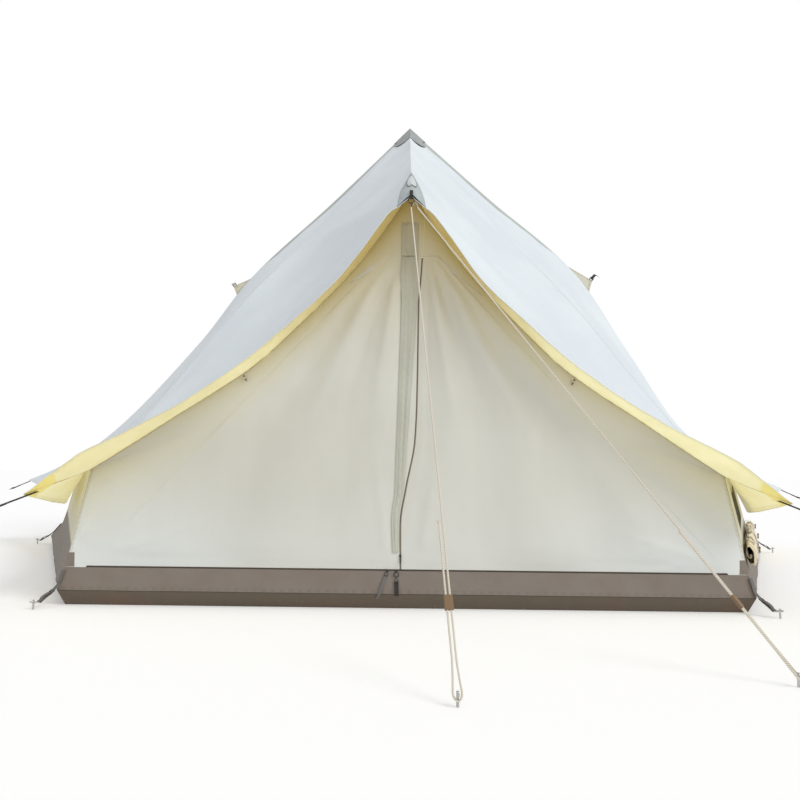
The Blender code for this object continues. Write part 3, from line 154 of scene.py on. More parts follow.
def interpolate(pairs: Pairs, value: float) -> float:
    """Read a smooth curve through pairs, without overshoot.

    Args:
        pairs: Positions and heights, in rising order of position.
        value: Position to read.

    Returns:
        The height there.
    """
    places = [pair[0] for pair in pairs]
    heights = [pair[1] for pair in pairs]
    last = len(pairs) - 1
    steps = [(heights[i + 1] - heights[i]) / (places[i + 1] - places[i]) for i in range(last)]
    slopes = [steps[0]]
    for before, after in zip(steps, steps[1:]):
        slopes.append(2 * before * after / (before + after) if before * after > 0 else 0.0)
    slopes.append(steps[-1])
    i = 0
    while i < last - 1 and value > places[i + 1]:
        i += 1
    width = places[i + 1] - places[i]
    t = (value - places[i]) / width
    if t < 0 or t > 1:
        edge, slope = (0, slopes[0]) if t < 0 else (last, slopes[-1])
        return heights[edge] + slope * (value - places[edge])
    start = (1 + 2 * t) * (1 - t) ** 2 * heights[i] + t * (1 - t) ** 2 * width * slopes[i]
    end = t * t * (3 - 2 * t) * heights[i + 1] + t * t * (t - 1) * width * slopes[i + 1]
    return start + end


# Shader values and finishes


class Value:
    """A shader value that Python expressions can work on."""

    def __init__(self, kit: "NodeKit", socket: bpy.types.NodeSocket) -> None:
        self.kit = kit
        self.socket = socket

    def _math(self, operation: str, first: Any, second: Any) -> "Value":
        """Add a Math node on two values."""
        return self.kit.node("ShaderNodeMath", {"operation": operation}, {0: first, 1: second})

    def __add__(self, other: Any) -> "Value":
        """Sum with another value or number."""
        return self._math("ADD", self, other)

    __radd__ = __add__

    def __sub__(self, other: Any) -> "Value":
        """Difference from this value."""
        return self._math("SUBTRACT", self, other)

    def __rsub__(self, other: Any) -> "Value":
        """Difference from a number."""
        return self._math("SUBTRACT", other, self)

    def __mul__(self, other: Any) -> "Value":
        """Product with another value or number."""
        return self._math("MULTIPLY", self, other)

    __rmul__ = __mul__

    def sine(self) -> "Value":
        """Sine of this value."""
        return self._math("SINE", self, 0.0)

    def size(self) -> "Value":
        """Absolute value."""
        return self._math("ABSOLUTE", self, 0.0)

    def part(self) -> "Value":
        """What stands behind the decimal point."""
        return self._math("FRACT", self, 0.0)


class NodeKit:
    """The nodes of one material, round its Principled shader."""

    def __init__(self, name: str) -> None:
        """Start a material of that name."""
        self.material = bpy.data.materials.new(name)
        self.material.use_nodes = True
        self.tree = self.material.node_tree
        self.shader = self.tree.nodes["Principled BSDF"]

    def node(self, kind: str, settings: dict[str, Any], values: dict[Any, Any],
             out: Any = 0) -> Value:
        """Add a node.

        Args:
            kind: Type of node.
            settings: Its properties.
            values: Numbers or shader values for its inputs, by name or index.
            out: Name or index of the output that is wanted.

        Returns:
            That output.
        """
        made = self.tree.nodes.new(kind)
        for key, setting in settings.items():
            setattr(made, key, setting)
        for key, value in values.items():
            self.feed(made.inputs[key], value)
        return Value(self, made.outputs[out])

    def feed(self, socket: bpy.types.NodeSocket, value: Any) -> None:
        """Link a shader value to an input, or set a number or colour on it."""
        if isinstance(value, Value):
            self.tree.links.new(value.socket, socket)
        elif isinstance(value, tuple) and socket.type == "RGBA" and len(value) == 3:
            socket.default_value = (*value, 1.0)
        else:
            socket.default_value = value

    def set(self, **values: Any) -> None:
        """Feed the shader's sockets, with their names in lower case and underscores."""
        for key, value in values.items():
            self.feed(self.shader.inputs[key.replace("_", " ").title()], value)

    def attribute(self, name: str) -> Value:
        """Number that the mesh keeps under a name."""
        return self.node("ShaderNodeAttribute", {"attribute_name": name}, {}, "Fac")

    def place(self) -> Value:
        """Object coordinates."""
        return self.node("ShaderNodeTexCoord", {}, {}, "Object")

    def uv(self) -> Value:
        """The piece's own UV map, in metres."""
        return self.node("ShaderNodeTexCoord", {}, {}, "UV")

    def split(self, vector: Value) -> tuple[Value, Value, Value]:
        """X, Y and Z of a vector."""
        parts = self.node("ShaderNodeSeparateXYZ", {}, {0: vector})
        outputs = parts.socket.node.outputs
        return Value(self, outputs[0]), Value(self, outputs[1]), Value(self, outputs[2])

    def noise(self, vector: Value, scale: float, detail: float = 3.0,
              stretch: Place = (1.0, 1.0, 1.0)) -> Value:
        """Cloudy value about 0.5."""
        if stretch != (1.0, 1.0, 1.0):
            vector = self.node("ShaderNodeMapping", {}, {"Vector": vector, "Scale": stretch})
        return self.node("ShaderNodeTexNoise", {},
                         {"Vector": vector, "Scale": scale, "Detail": detail})

    def mix(self, share: Any, first: Any, second: Any) -> Value:
        """Mix of two colours."""
        node = self.tree.nodes.new("ShaderNodeMix")
        node.data_type = "RGBA"
        self.feed(node.inputs[0], share)
        self.feed(node.inputs[6], first)
        self.feed(node.inputs[7], second)
        return Value(self, node.outputs[2])

    def ease(self, value: Value, start: float, end: float) -> Value:
        """Smooth step from 0 at start to 1 at end."""
        settings = {"interpolation_type": "SMOOTHSTEP"}
        return self.node("ShaderNodeMapRange", settings,
                         {"Value": value, "From Min": start, "From Max": end})

    def line(self, value: Value, at: float, half: float) -> Value:
        """One near a value, zero further off than half a width."""
        return 1 - self.ease((value - at).size(), half * 0.5, half)

    def bump(self, height: Value, depth: float) -> None:
        """Feed the shader's normal from a height in units of depth."""
        inputs = {"Strength": 1.0, "Distance": depth, "Height": height}
        self.set(normal=self.node("ShaderNodeBump", {}, inputs))


def weave(kit: NodeKit, pitch: float) -> Value:
    """Plain weave as a height from -1 to 1, on the UV map in metres."""
    u, v, _ = kit.split(kit.uv())
    turn = math.tau / pitch
    return (u * turn).sine() * (v * turn).sine()


def stitches(kit: NodeKit, distance: Value, along: Value, at: float) -> Value:
    """A line of stitches at a distance from a border."""
    dash = kit.ease((along * 160.0).sine(), -0.2, 0.4)
    return kit.line(distance, at, 0.0022) * dash


@dataclass(frozen=True)
class Canvas:
    """Cotton canvas, with what its seams, hems and folds show, and painted light and shade where
    its finish has them.
    """

    name: str
    colour: Colour
    shade: Colour
    seam: Colour
    # Painted light: an emission that stands for light shining through the cloth.
    glow: Colour = (0.0, 0.0, 0.0)
    glow_strength: float = 0.0
    # Painted shade of a side panel seen edge-on, laid as a band beside its hip.
    strip: Colour | None = None
    # Painted shade: towards the peak, under the awning and in the hollows of gathered folds.
    apex: Colour | None = None
    # Painted light: paler and bluer near the ground.
    pale: Colour | None = None
    patch: Colour | None = None
    line: float = 0.7

    def with_patch(self, kit: NodeKit, tone: Value) -> Value:
        """A tone with the reinforced corners over it, where the canvas has them."""
        if self.patch is None:
            return tone
        return kit.mix(kit.ease(kit.attribute("corner"), 0.4, 0.6) * 0.8, tone, self.patch)

    def material(self) -> bpy.types.Material:
        """Make the material.

        Returns:
            Canvas that reads the attributes seam, hem and corner, strip and apex for painted shade,
            and pale for painted light.
        """
        kit = NodeKit(self.name)
        where = kit.place()
        clouds = kit.noise(where, 1.7, 4.0)
        slubs = kit.noise(kit.uv(), 90.0, 2.0, (1.0, 14.0, 1.0))
        crumple = kit.noise(where, 11.0, 5.0)
        tone = kit.mix(kit.ease(clouds, 0.32, 0.68), self.shade, self.colour)
        tone = kit.mix((slubs - 0.5) * 0.10, tone, self.shade)
        seam = kit.attribute("seam")
        hem = kit.attribute("hem")
        u, v, _ = kit.split(kit.uv())
        along = u + v
        # Painted shade, as much as its attribute says.
        if self.apex is not None:
            tone = kit.mix(kit.attribute("apex"), tone, self.apex)
        # Painted light, as much as its attribute says.
        if self.pale is not None:
            tone = kit.mix(kit.attribute("pale"), tone, self.pale)
        fold = 1 - kit.ease(seam, 0.012, 0.015)
        turned = 1 - kit.ease(hem, 0.020, 0.024)
        tone = kit.mix((fold * 0.45 + turned * 0.30) * self.line, tone, self.seam)
        rows = stitches(kit, seam, along, 0.004) + stitches(kit, seam, along, 0.011)
        rows = rows + stitches(kit, hem, along, 0.018)
        tone = kit.mix(rows * (0.7 * self.line), tone, self.seam)
        edges = kit.line(seam, 0.0, 0.003) + kit.line(hem, 0.0, 0.003) * 0.6
        tone = kit.mix(edges * self.line, tone, self.seam)
        tone = self.with_patch(kit, tone)
        # Painted shade of the side panel seen edge-on beside a hip.
        if self.strip is not None:
            strip = kit.attribute("strip")
            tone = kit.mix(strip * (0.85 + (crumple - 0.5) * 0.5), tone, self.strip)
        kit.set(base_color=tone, roughness=0.78 + (clouds - 0.5) * 0.12, sheen_weight=0.15,
                sheen_roughness=0.5)
        # Painted light through the cloth: an emission, dimmer at seams, hems, folds, crumples and
        # under the painted shade.
        if self.glow_strength:
            edges = kit.line(seam, 0.0, 0.005) + kit.line(hem, 0.0, 0.006)
            dim = kit.ease(crumple, 0.3, 0.7) * 0.25 + fold * 0.5 + edges * self.line
            if self.apex is not None:
                dim = dim + kit.attribute("apex") * 0.8
            light = kit.mix(dim, self.glow, self.seam)
            kit.set(emission_color=self.with_patch(kit, light),
                    emission_strength=self.glow_strength)
        height = weave(kit, 0.0011) * 0.05 + crumple * 1.4 + (slubs - 0.5) * 0.25
        kit.bump(height + fold * 0.8 + turned * 0.8 - rows * 0.7, 0.0011)
        return kit.material


@dataclass(frozen=True)
class CoatedCloth:
    """Coated woven cloth of the mud walls and the floor, soiled towards the ground, its lower band
    darker as painted shade where it turns in under the floor.
    """

    name: str
    upper: Colour
    # Painted shade: the colour below split, where the cloth turns in under the floor.
    lower: Colour
    stain: Colour
    split: float
    pitch: float = 0.004

    def material(self) -> bpy.types.Material:
        """Make the material.

        Returns:
            Coated cloth in two bands, the lower one darker as painted shade, with a stitched seam
            between them.
        """
        kit = NodeKit(self.name)
        where = kit.place()
        _, _, z = kit.split(where)
        crumple = kit.noise(where, 9.0, 6.0)
        blotch = kit.noise(where, 2.6, 4.0)
        dust = kit.noise(where, 60.0, 3.0)
        # Painted shade: below split the cloth takes the darker lower colour.
        tone = kit.mix(kit.ease(z, self.split - 0.001, self.split + 0.001), self.lower, self.upper)
        tone = kit.mix(kit.ease(blotch, 0.50, 0.72) * (1 - kit.ease(z, 0.0, 0.09)) * 0.8, tone,
                       self.stain)
        tone = kit.mix(kit.ease(crumple, 0.35, 0.75) * 0.22, tone, self.stain)
        tone = kit.mix(kit.ease(dust, 0.55, 0.8) * (1 - kit.ease(z, 0.0, 0.05)) * 0.35, tone,
                       (0.30, 0.27, 0.22))
        u, _, _ = kit.split(kit.uv())
        rows = stitches(kit, z, u, self.split + 0.006) + stitches(kit, z, u, self.split + 0.013)
        tone = kit.mix(rows * 0.12 + kit.line(z, self.split, 0.0025) * 0.7, tone,
                       (0.02, 0.018, 0.015))
        kit.set(base_color=tone, roughness=0.55 + (dust - 0.5) * 0.3)
        kit.bump(weave(kit, self.pitch) * 0.10 + crumple * 1.6 - rows * 0.5, 0.0016)
        return kit.material


@dataclass(frozen=True)
class CapCloth:
    """Stout grey cloth of the peak cap, the boot and its patch, dark at its bound edges."""

    name: str
    colour: Colour
    edge: Colour

    def material(self) -> bpy.types.Material:
        """Make the material, which reads the attribute hem."""
        kit = NodeKit(self.name)
        where = kit.place()
        crumple = kit.noise(where, 26.0, 5.0)
        hem = kit.attribute("hem")
        u, v, _ = kit.split(kit.uv())
        rows = stitches(kit, hem, u + v, 0.006)
        tone = kit.mix(kit.ease(crumple, 0.3, 0.75) * 0.35, self.colour, self.edge)
        tone = kit.mix(kit.line(hem, 0.0, 0.0055) * 0.85 + rows * 0.4, tone, self.edge)
        kit.set(base_color=tone, roughness=0.62 + (crumple - 0.5) * 0.2)
        kit.bump(weave(kit, 0.0012) * 0.06 + crumple * 1.5 - rows * 0.6, 0.0012)
        return kit.material


@dataclass(frozen=True)
class Netting:
    """Fine insect mesh."""

    name: str
    colour: Colour
    pitch: float

    def material(self) -> bpy.types.Material:
        """Make the material, open between its threads."""
        kit = NodeKit(self.name)
        u, v, _ = kit.split(kit.uv())
        turn = math.pi / self.pitch
        across = 1 - kit.ease((u * turn).sine().size(), 0.22, 0.50)
        down = 1 - kit.ease((v * turn).sine().size(), 0.22, 0.50)
        thread = across + down - across * down
        knot = across * down
        kit.set(base_color=kit.mix(knot, self.colour, (0.16, 0.16, 0.16)),
                roughness=0.7 + knot * 0.1, alpha=thread)
        kit.bump(thread + knot * 0.5, 0.0003)
        return kit.material


@dataclass(frozen=True)
class Webbing:
    """Woven strap with ribs across it."""

    name: str
    colour: Colour
    wear: Colour

    def material(self) -> bpy.types.Material:
        """Make the material on a UV map in metres, with v along the strap."""
        kit = NodeKit(self.name)
        u, v, _ = kit.split(kit.uv())
        ribs = (v * (math.tau / 0.0021)).sine()
        threads = (u * (math.tau / 0.0013)).sine()
        fuzz = kit.noise(kit.place(), 240.0, 3.0)
        worn = kit.ease(kit.noise(kit.place(), 30.0, 4.0), 0.52, 0.75)
        tone = kit.mix(kit.ease(ribs, -0.4, 0.9) * 0.35 + worn * 0.3, self.colour, self.wear)
        kit.set(base_color=tone, roughness=0.80 + (fuzz - 0.5) * 0.2)
        kit.bump(ribs + threads * 0.4 + fuzz * 0.6, 0.0003)
        return kit.material


@dataclass(frozen=True)
class Metal:
    """Plated or drawn metal with fine scratches."""

    name: str
    colour: Colour
    rough: float
    stretch: Place = (1.0, 1.0, 1.0)

    def material(self) -> bpy.types.Material:
        """Make the material."""
        kit = NodeKit(self.name)
        where = kit.place()
        scratches = kit.noise(where, 420.0, 3.0, self.stretch)
        haze = kit.noise(where, 26.0, 4.0)
        tone = kit.mix(kit.ease(haze, 0.45, 0.75) * 0.35, self.colour,
                       tuple(0.55 * part for part in self.colour))
        kit.set(base_color=tone, metallic=0.9 + (haze - 0.5) * 0.2,
                roughness=self.rough + (scratches - 0.5) * 0.22)
        kit.bump(scratches, 0.00005)
        return kit.material


@dataclass(frozen=True)
class Plastic:
    """Moulded plastic with a fine grain."""

    name: str
    colour: Colour
    rough: float

    def material(self) -> bpy.types.Material:
        """Make the material."""
        kit = NodeKit(self.name)
        where = kit.place()
        grain = kit.noise(where, 900.0, 2.0)
        scuffs = kit.ease(kit.noise(where, 55.0, 4.0), 0.55, 0.78)
        tone = kit.mix(scuffs * 0.3, self.colour, tuple(part * 0.5 + 0.10 for part in self.colour))
        kit.set(base_color=tone, roughness=self.rough + scuffs * 0.15)
        kit.bump(grain, 0.00004)
        return kit.material


@dataclass(frozen=True)
class RopeFibre:
    """Laid cord: strands that turn round it, with painted shade in the grooves between them and a
    faint darker speckle.
    """

    name: str
    colour: Colour
    # Painted shade between the strands, and a faint speckle.
    fleck: Colour
    radius: float

    def material(self) -> bpy.types.Material:
        """Make the material, its strands laid out by object coordinates."""
        kit = NodeKit(self.name)
        x, y, z = kit.split(kit.place())
        twist = ((z * 210.0 + x * 70.0 + y * 50.0) * (0.003 / self.radius)).part()
        strand = kit.line(twist, 0.5, 0.5)
        fuzz = kit.noise(kit.place(), 700.0, 2.0)
        # Painted shade in the grooves between the strands, with faint darker specks from the fuzz.
        tone = kit.mix((1 - strand) * 0.65 + fuzz * 0.10, self.colour, self.fleck)
        kit.set(base_color=tone, roughness=0.80 + (fuzz - 0.5) * 0.2)
        kit.bump(strand + fuzz * 0.3, self.radius * 0.25)
        return kit.material


@dataclass(frozen=True)
class Backdrop:
    """Plain pale floor with a faint mottle."""

    name: str
    colour: Colour
    lift: float

    def material(self) -> bpy.types.Material:
        """Make the material, a little brighter to look at than it lights the tent."""
        kit = NodeKit(self.name)
        cloud = kit.noise(kit.place(), 0.6, 2.0)
        kit.set(base_color=kit.mix(cloud * 0.1, self.colour, (0.90, 0.90, 0.90)), roughness=0.9)
        lift = kit.node("ShaderNodeLightPath", {}, {}, "Is Camera Ray")
        kit.set(emission_color=kit.mix(lift, (0.0, 0.0, 0.0), (1.0, 1.0, 1.0)),
                emission_strength=self.lift)
        return kit.material


@dataclass(frozen=True)
class ZipCoil:
    """Zip tape with its row of coils down the middle."""

    name: str
    tape: Colour
    coil: Colour
    half: float

    def material(self) -> bpy.types.Material:
        """Make the material on a UV map in metres, with u across the tape."""
        kit = NodeKit(self.name)
        u, v, _ = kit.split(kit.uv())
        middle = 1 - kit.ease(u.size(), self.half * 0.45, self.half * 0.6)
        teeth = (v * (math.tau / 0.0026)).sine()
        tone = kit.mix(middle, self.tape, self.coil)
        tone = kit.mix(middle * kit.ease(teeth, -0.2, 0.8) * 0.5, tone, (0.01, 0.009, 0.008))
        kit.set(base_color=tone, roughness=0.75 - middle * 0.35)
        kit.bump(middle * (1.0 + teeth * 0.6) + weave(kit, 0.001) * 0.15, 0.0008)
        return kit.material


# The roof's band colour is painted shade of the side panels seen edge-on beside the side hips.
ROOF = Canvas("roof_canvas", (0.79, 0.85, 0.885), (0.735, 0.79, 0.835), (0.47, 0.50, 0.48),
              strip=(0.42, 0.46, 0.42), line=0.22)
# The underside's yellow colour and its glow are painted light shining through the cloth; its darker
# brown towards the peak and on the left half is painted shade.
ROOF_UNDER = Canvas("roof_underside", (0.84, 0.80, 0.47), (0.78, 0.74, 0.42), (0.36, 0.29, 0.07),
                    glow=(0.88, 0.82, 0.52), glow_strength=0.46, apex=(0.46, 0.33, 0.10),
                    patch=(0.72, 0.60, 0.14))
# The wall's darker, warmer colour towards the peak and under the awning is painted shade warmed by
# light through the awning; its paler colour near the ground is painted light.
WALL = Canvas("wall_canvas", (0.70, 0.695, 0.625), (0.65, 0.64, 0.565), (0.36, 0.29, 0.17),
              apex=(0.54, 0.44, 0.17), pale=(0.78, 0.82, 0.82), line=0.35)
WALL_UNDER = Canvas("wall_inside", (0.62, 0.60, 0.50), (0.56, 0.54, 0.44), (0.34, 0.31, 0.22))
SIDE_CANVAS = Canvas("side_canvas", (0.74, 0.72, 0.60), (0.66, 0.63, 0.49), (0.36, 0.32, 0.20))
# The flap's grey-green is partly its own colour and partly painted shadow of the front pole; it too
# darkens towards the peak as painted shade.
FLAP_CANVAS = Canvas("flap_canvas", (0.57, 0.58, 0.49), (0.48, 0.485, 0.395), (0.34, 0.32, 0.25),
                     apex=(0.36, 0.29, 0.13), line=0.25)
# The gathered canvas's dark brown in the hollows of its folds is painted shade.
BUNCH_CANVAS = Canvas("gathered_canvas", (0.86, 0.78, 0.58), (0.74, 0.63, 0.43), (0.30, 0.24, 0.15),
                      apex=(0.17, 0.115, 0.05))
# The mud cloth's darker lower band is painted shade where it turns in under the floor.
MUD = CoatedCloth("mud_cloth", (0.225, 0.190, 0.160), (0.135, 0.108, 0.076), (0.17, 0.105, 0.07),
                  BAND_SEAM_HEIGHT)
FLOOR_CLOTH = CoatedCloth("floor_cloth", (0.14, 0.13, 0.12), (0.12, 0.11, 0.10), (0.17, 0.15, 0.12),
                          -0.5, 0.006)
PATCH_GREY = CapCloth("boot_patch_cloth", (0.74, 0.78, 0.785), (0.10, 0.11, 0.11))
CAP = CapCloth("cap_cloth", (0.40, 0.43, 0.43), (0.09, 0.10, 0.10))
BOOT = CapCloth("boot_cloth", (0.50, 0.55, 0.56), (0.24, 0.26, 0.26))
NET = Netting("insect_mesh", (0.05, 0.05, 0.05), 0.0022)
STRAP_BLACK = Webbing("black_webbing", (0.030, 0.026, 0.022), (0.10, 0.09, 0.08))
STRAP_GREY = Webbing("grey_webbing", (0.165, 0.155, 0.150), (0.32, 0.31, 0.30))
STRAP_CREAM = Webbing("cream_webbing", (0.75, 0.74, 0.64), (0.60, 0.58, 0.47))
STEEL = Metal("plated_steel", (0.62, 0.62, 0.60), 0.34)
BLACK_METAL = Metal("black_metal", (0.09, 0.085, 0.08), 0.38)
ALUMINIUM = Metal("drawn_aluminium", (0.72, 0.73, 0.74), 0.30, (1.0, 1.0, 0.04))
BROWN_PLASTIC = Plastic("brown_plastic", (0.22, 0.13, 0.06), 0.45)
# The cords' darker colour between their strands is painted shade in the grooves.
ROPE = RopeFibre("guy_rope", (0.88, 0.82, 0.70), (0.30, 0.22, 0.13), 0.003)
THIN_ROPE = RopeFibre("thin_cord", (0.42, 0.42, 0.20), (0.10, 0.10, 0.05), 0.0015)
ZIP = ZipCoil("zip_coil", (0.36, 0.33, 0.26), (0.20, 0.165, 0.12), 0.004)
SILL_ZIP = ZipCoil("sill_zip", (0.15, 0.12, 0.095), (0.06, 0.05, 0.04), 0.004)


class Wardrobe:
    """Keeps each finish's material, made once."""

    def __init__(self) -> None:
        """Start with nothing made."""
        self.made: dict[str, bpy.types.Material] = {}

    def get(self, finish: Any) -> bpy.types.Material:
        """The finish's material."""
        if finish.name not in self.made:
            self.made[finish.name] = finish.material()
        return self.made[finish.name]


WARDROBE = Wardrobe()


# The tent's own lines


@dataclass(frozen=True)
class Seam:
    """A roof seam in its own upright plane through the tent's axis."""

    x: float
    y: float
    profile: Pairs
    insets: tuple[float, float] = (0.0, 0.0)

    @property
    def along(self) -> Vector:
        """Level direction of the seam, away from the axis."""
        return Vector((self.x, self.y, 0.0)).normalized()

    @property
    def across(self) -> Vector:
        """Level direction square to the seam."""
        return Vector((-self.along.y, self.along.x, 0.0))

    @property
    def floor_radius(self) -> float:
        """Radius of the floor's corner under the seam."""
        return math.hypot(self.x, self.y)

    @property
    def wall_radius(self) -> float:
        """Radius at which the walls meet the roof."""
        return self.floor_radius - self.insets[1]

    @property
    def eave_radius(self) -> float:
        """Radius of the eave's corner."""
        return self.profile[-1][0]

    def height(self, radius: float) -> float:
        """Height of the seam's outer side at a radius."""
        return interpolate(self.profile, radius)

    def point(self, radius: float, side: int = 0) -> Vector:
        """Point on the seam, half a gap to one side."""
        return self.along * radius + UP * self.height(radius) + self.across * (side * GAP / 2)

    def radius_at(self, level: float) -> float:
        """Radius at a level from 0 at the vent through the wall's top to the eave."""
        if level <= WALL_LEVEL:
            return blend(VENT_RADIUS, self.wall_radius, level / WALL_LEVEL)
        beyond = (level - WALL_LEVEL) / (EAVE_LEVEL - WALL_LEVEL)
        return blend(self.wall_radius, self.eave_radius, beyond)

    def wall_radius_at(self, height: float) -> float:
        """Radius of the low wall's corner at a height."""
        outline = ((0.0, -0.03), (BAND_SEAM_HEIGHT, 0.010), (MUD_WALL_TOP, -self.insets[0]),
                   (WALL_TOP, -self.insets[1]))
        for (low, inner), (high, outer) in zip(outline, outline[1:]):
            if height <= high or high == WALL_TOP:
                return self.floor_radius + blend(inner, outer, (height - low) / (high - low))
        return self.floor_radius

    def wall_point(self, height: float, side: int = 0) -> Vector:
        """Point on the low wall's corner line."""
        place = self.along * self.wall_radius_at(height) + self.across * (side * GAP / 2)
        return place + UP * height


END_INSETS = (0.02, 0.12)
MIDDLE_INSETS = (0.07, 0.20)
FRONT_HIP = ((0.0, PEAK), (1.0, 2.15), (1.6, 1.56), (2.2, 0.88), (2.48, 0.60), (2.80, 0.48))
REAR_HIP = ((0.0, PEAK), (1.3, 1.80), (2.1, 0.95), (2.48, 0.60), (2.80, 0.48))
LEFT_HIP = ((0.0, PEAK), (0.58, 2.62), (1.21, 2.00), (1.57, 1.51), (2.28, 0.755), (2.62, 0.545),
            (2.80, 0.466))
RIGHT_HIP = ((0.0, PEAK), (0.61, 2.66), (1.28, 2.07), (1.67, 1.474), (2.10, 0.86), (2.62, 0.545),
             (2.80, 0.466))
HIPS = {
    "front_left": Seam(-1.5, -2.15, FRONT_HIP, END_INSETS),
    "front_right": Seam(1.5, -2.15, FRONT_HIP, END_INSETS),
    "right": Seam(2.6, 0.0, RIGHT_HIP, MIDDLE_INSETS),
    "rear_right": Seam(1.5, 2.15, REAR_HIP, END_INSETS),
    "rear_left": Seam(-1.5, 2.15, REAR_HIP, END_INSETS),
    "left": Seam(-2.6, 0.0, LEFT_HIP, MIDDLE_INSETS),
}
CENTRE_RIDGE = Seam(0.0, -2.15, ((0.0, PEAK), (1.0, 2.575), (2.08, 1.930), (2.27, 1.790)))
SEAM_HEIGHTS = ((0.0, 1.895), (0.05, 1.80), (0.10, 1.715), (0.25, 1.51), (0.45, 1.29), (0.70, 1.05),
                (0.85, 0.944), (1.00, 0.847), (1.20, 0.715), (1.40, 0.60))
AWNING_HEIGHTS = ((0.0, 1.790), (0.10, 1.70), (0.32, 1.41), (0.50, 1.24), (0.65, 1.105),
                  (0.84, 0.96), (1.00, 0.858), (1.20, 0.748), (1.43, 0.632), (1.61, 0.50))
ZIP_LINE = ((0.15, -0.028), (0.36, -0.031), (0.52, -0.008), (0.73, 0.029), (0.91, 0.036),
            (1.16, 0.038), (1.33, 0.039), (1.46, 0.048), (1.73, 0.064))


def facing(way: Vector, toward: Vector) -> Vector:
    """The way or its opposite, whichever points more to the other."""
    return way if way.dot(toward) > 0 else -way


def side_of(seam: Seam, toward: Vector) -> int:
    """Say on which side of a seam's plane a panel lies."""
    return 1 if seam.across.dot(toward) > 0 else -1


def outward_of(first: Seam, second: Seam) -> Vector:
    """Level way out through the wall between two corners."""
    across = (second.wall_point(0.0) - first.wall_point(0.0)).cross(UP).normalized()
    return facing(across, first.along + second.along)


def front_seam_point(x: float) -> Vector:
    """Where the front wall is sewn to the roof, at a distance from the middle."""
    corner = HIPS["front_right"].point(HIPS["front_right"].wall_radius)
    share = max(0.0, (x - SEAM_BEND) / (corner.x - SEAM_BEND))
    return Vector((x, blend(DOOR_Y, corner.y, share * share), interpolate(SEAM_HEIGHTS, x)))


def hinge_x(height: float) -> float:
    """Distance of a door's hinge line from the middle at a height."""
    return blend(HINGE_FOOT, HINGE_TOP, (height - MUD_WALL_TOP) / HINGE_RISE)


def zip_x(height: float) -> float:
    """Where the upright zip is at a height."""
    return interpolate(ZIP_LINE, height)


# Cloth


@dataclass(frozen=True)
class Crease:
    """A fold in a cloth, in the patch's own chart, deepest near its start."""

    start: tuple[float, float]
    end: tuple[float, float]
    width: float
    depth: float
    even: bool = False

    def heights(self, chart: np.ndarray) -> np.ndarray:
        """How far each point of a chart is raised."""
        first = np.array(self.start)
        run = np.array(self.end) - first
        offset = chart - first
        share = np.clip((offset @ run) / (run @ run), 0.0, 1.0)
        distance = np.linalg.norm(offset - share[..., None] * run, axis=-1)
        if self.even:
            fade = np.sin(np.pi * np.clip(share * 0.98 + 0.01, 0, 1)) ** 0.6
        else:
            fade = smooth(share * 7) * (1 - share)
        return self.depth * np.exp(-((distance / self.width) ** 2)) * fade


@dataclass
class Patch:
    """A grid of points on a cloth's outer side, with how its four borders are held."""

    points: np.ndarray
    borders: tuple[Border, Border, Border, Border]
    chart: np.ndarray | None = None
    creases: Sequence[Crease] = ()
    ripple: float = 0.003
    ripple_size: float = 0.22
    marks: dict[str, np.ndarray] = field(default_factory=dict)
    fade: float = 0.07

    def distances(self) -> list[np.ndarray]:
        """Distances of all points from the first row, last row, first column and last column."""
        rows = np.linalg.norm(np.diff(self.points, axis=0), axis=-1)
        columns = np.linalg.norm(np.diff(self.points, axis=1), axis=-1)
        down = np.concatenate([np.zeros((1, rows.shape[1])), np.cumsum(rows, axis=0)])
        over = np.concatenate([np.zeros((columns.shape[0], 1)), np.cumsum(columns, axis=1)], axis=1)
        return [down, down[-1:] - down, over, over[:, -1:] - over]

    def area(self) -> float:
        """Area of the patch."""
        p = self.points
        one = np.cross(p[1:, :-1] - p[:-1, :-1], p[:-1, 1:] - p[:-1, :-1])
        two = np.cross(p[1:, :-1] - p[1:, 1:], p[:-1, 1:] - p[1:, 1:])
        return float((np.linalg.norm(one, axis=-1) + np.linalg.norm(two, axis=-1)).sum() / 2)

    def normals(self, toward: Vector) -> np.ndarray:
        """Unit normals that point to one side of the cloth."""
        across = np.gradient(self.points, axis=1)
        down = np.gradient(self.points, axis=0)
        found = np.cross(across, down)
        found /= np.maximum(np.linalg.norm(found, axis=-1, keepdims=True), 1e-9)
        return found if (found @ np.array(toward)).sum() > 0 else -found

    def shaped(self, toward: Vector) -> np.ndarray:
        """Points with the creases and ripples of worn cloth, still where it is sewn."""
        away = self.distances()
        normals = self.normals(toward)
        held = np.ones(self.points.shape[:2])
        for distance, border in zip(away, self.borders):
            if border is not FREE:
                held *= smooth(distance / self.fade)
        raise_by = np.zeros(self.points.shape[:2])
        if self.ripple:
            for (i, j), _ in np.ndenumerate(raise_by):
                at = Vector(self.points[i, j]) / self.ripple_size
                fine = noise.noise(at * 2.7 + Vector((3, 1, 7)))
                raise_by[i, j] = self.ripple * (noise.noise(at) + 0.45 * fine)
        if self.chart is not None:
            for crease in self.creases:
                raise_by += crease.heights(self.chart)
        return self.points + normals * (raise_by * held)[..., None]


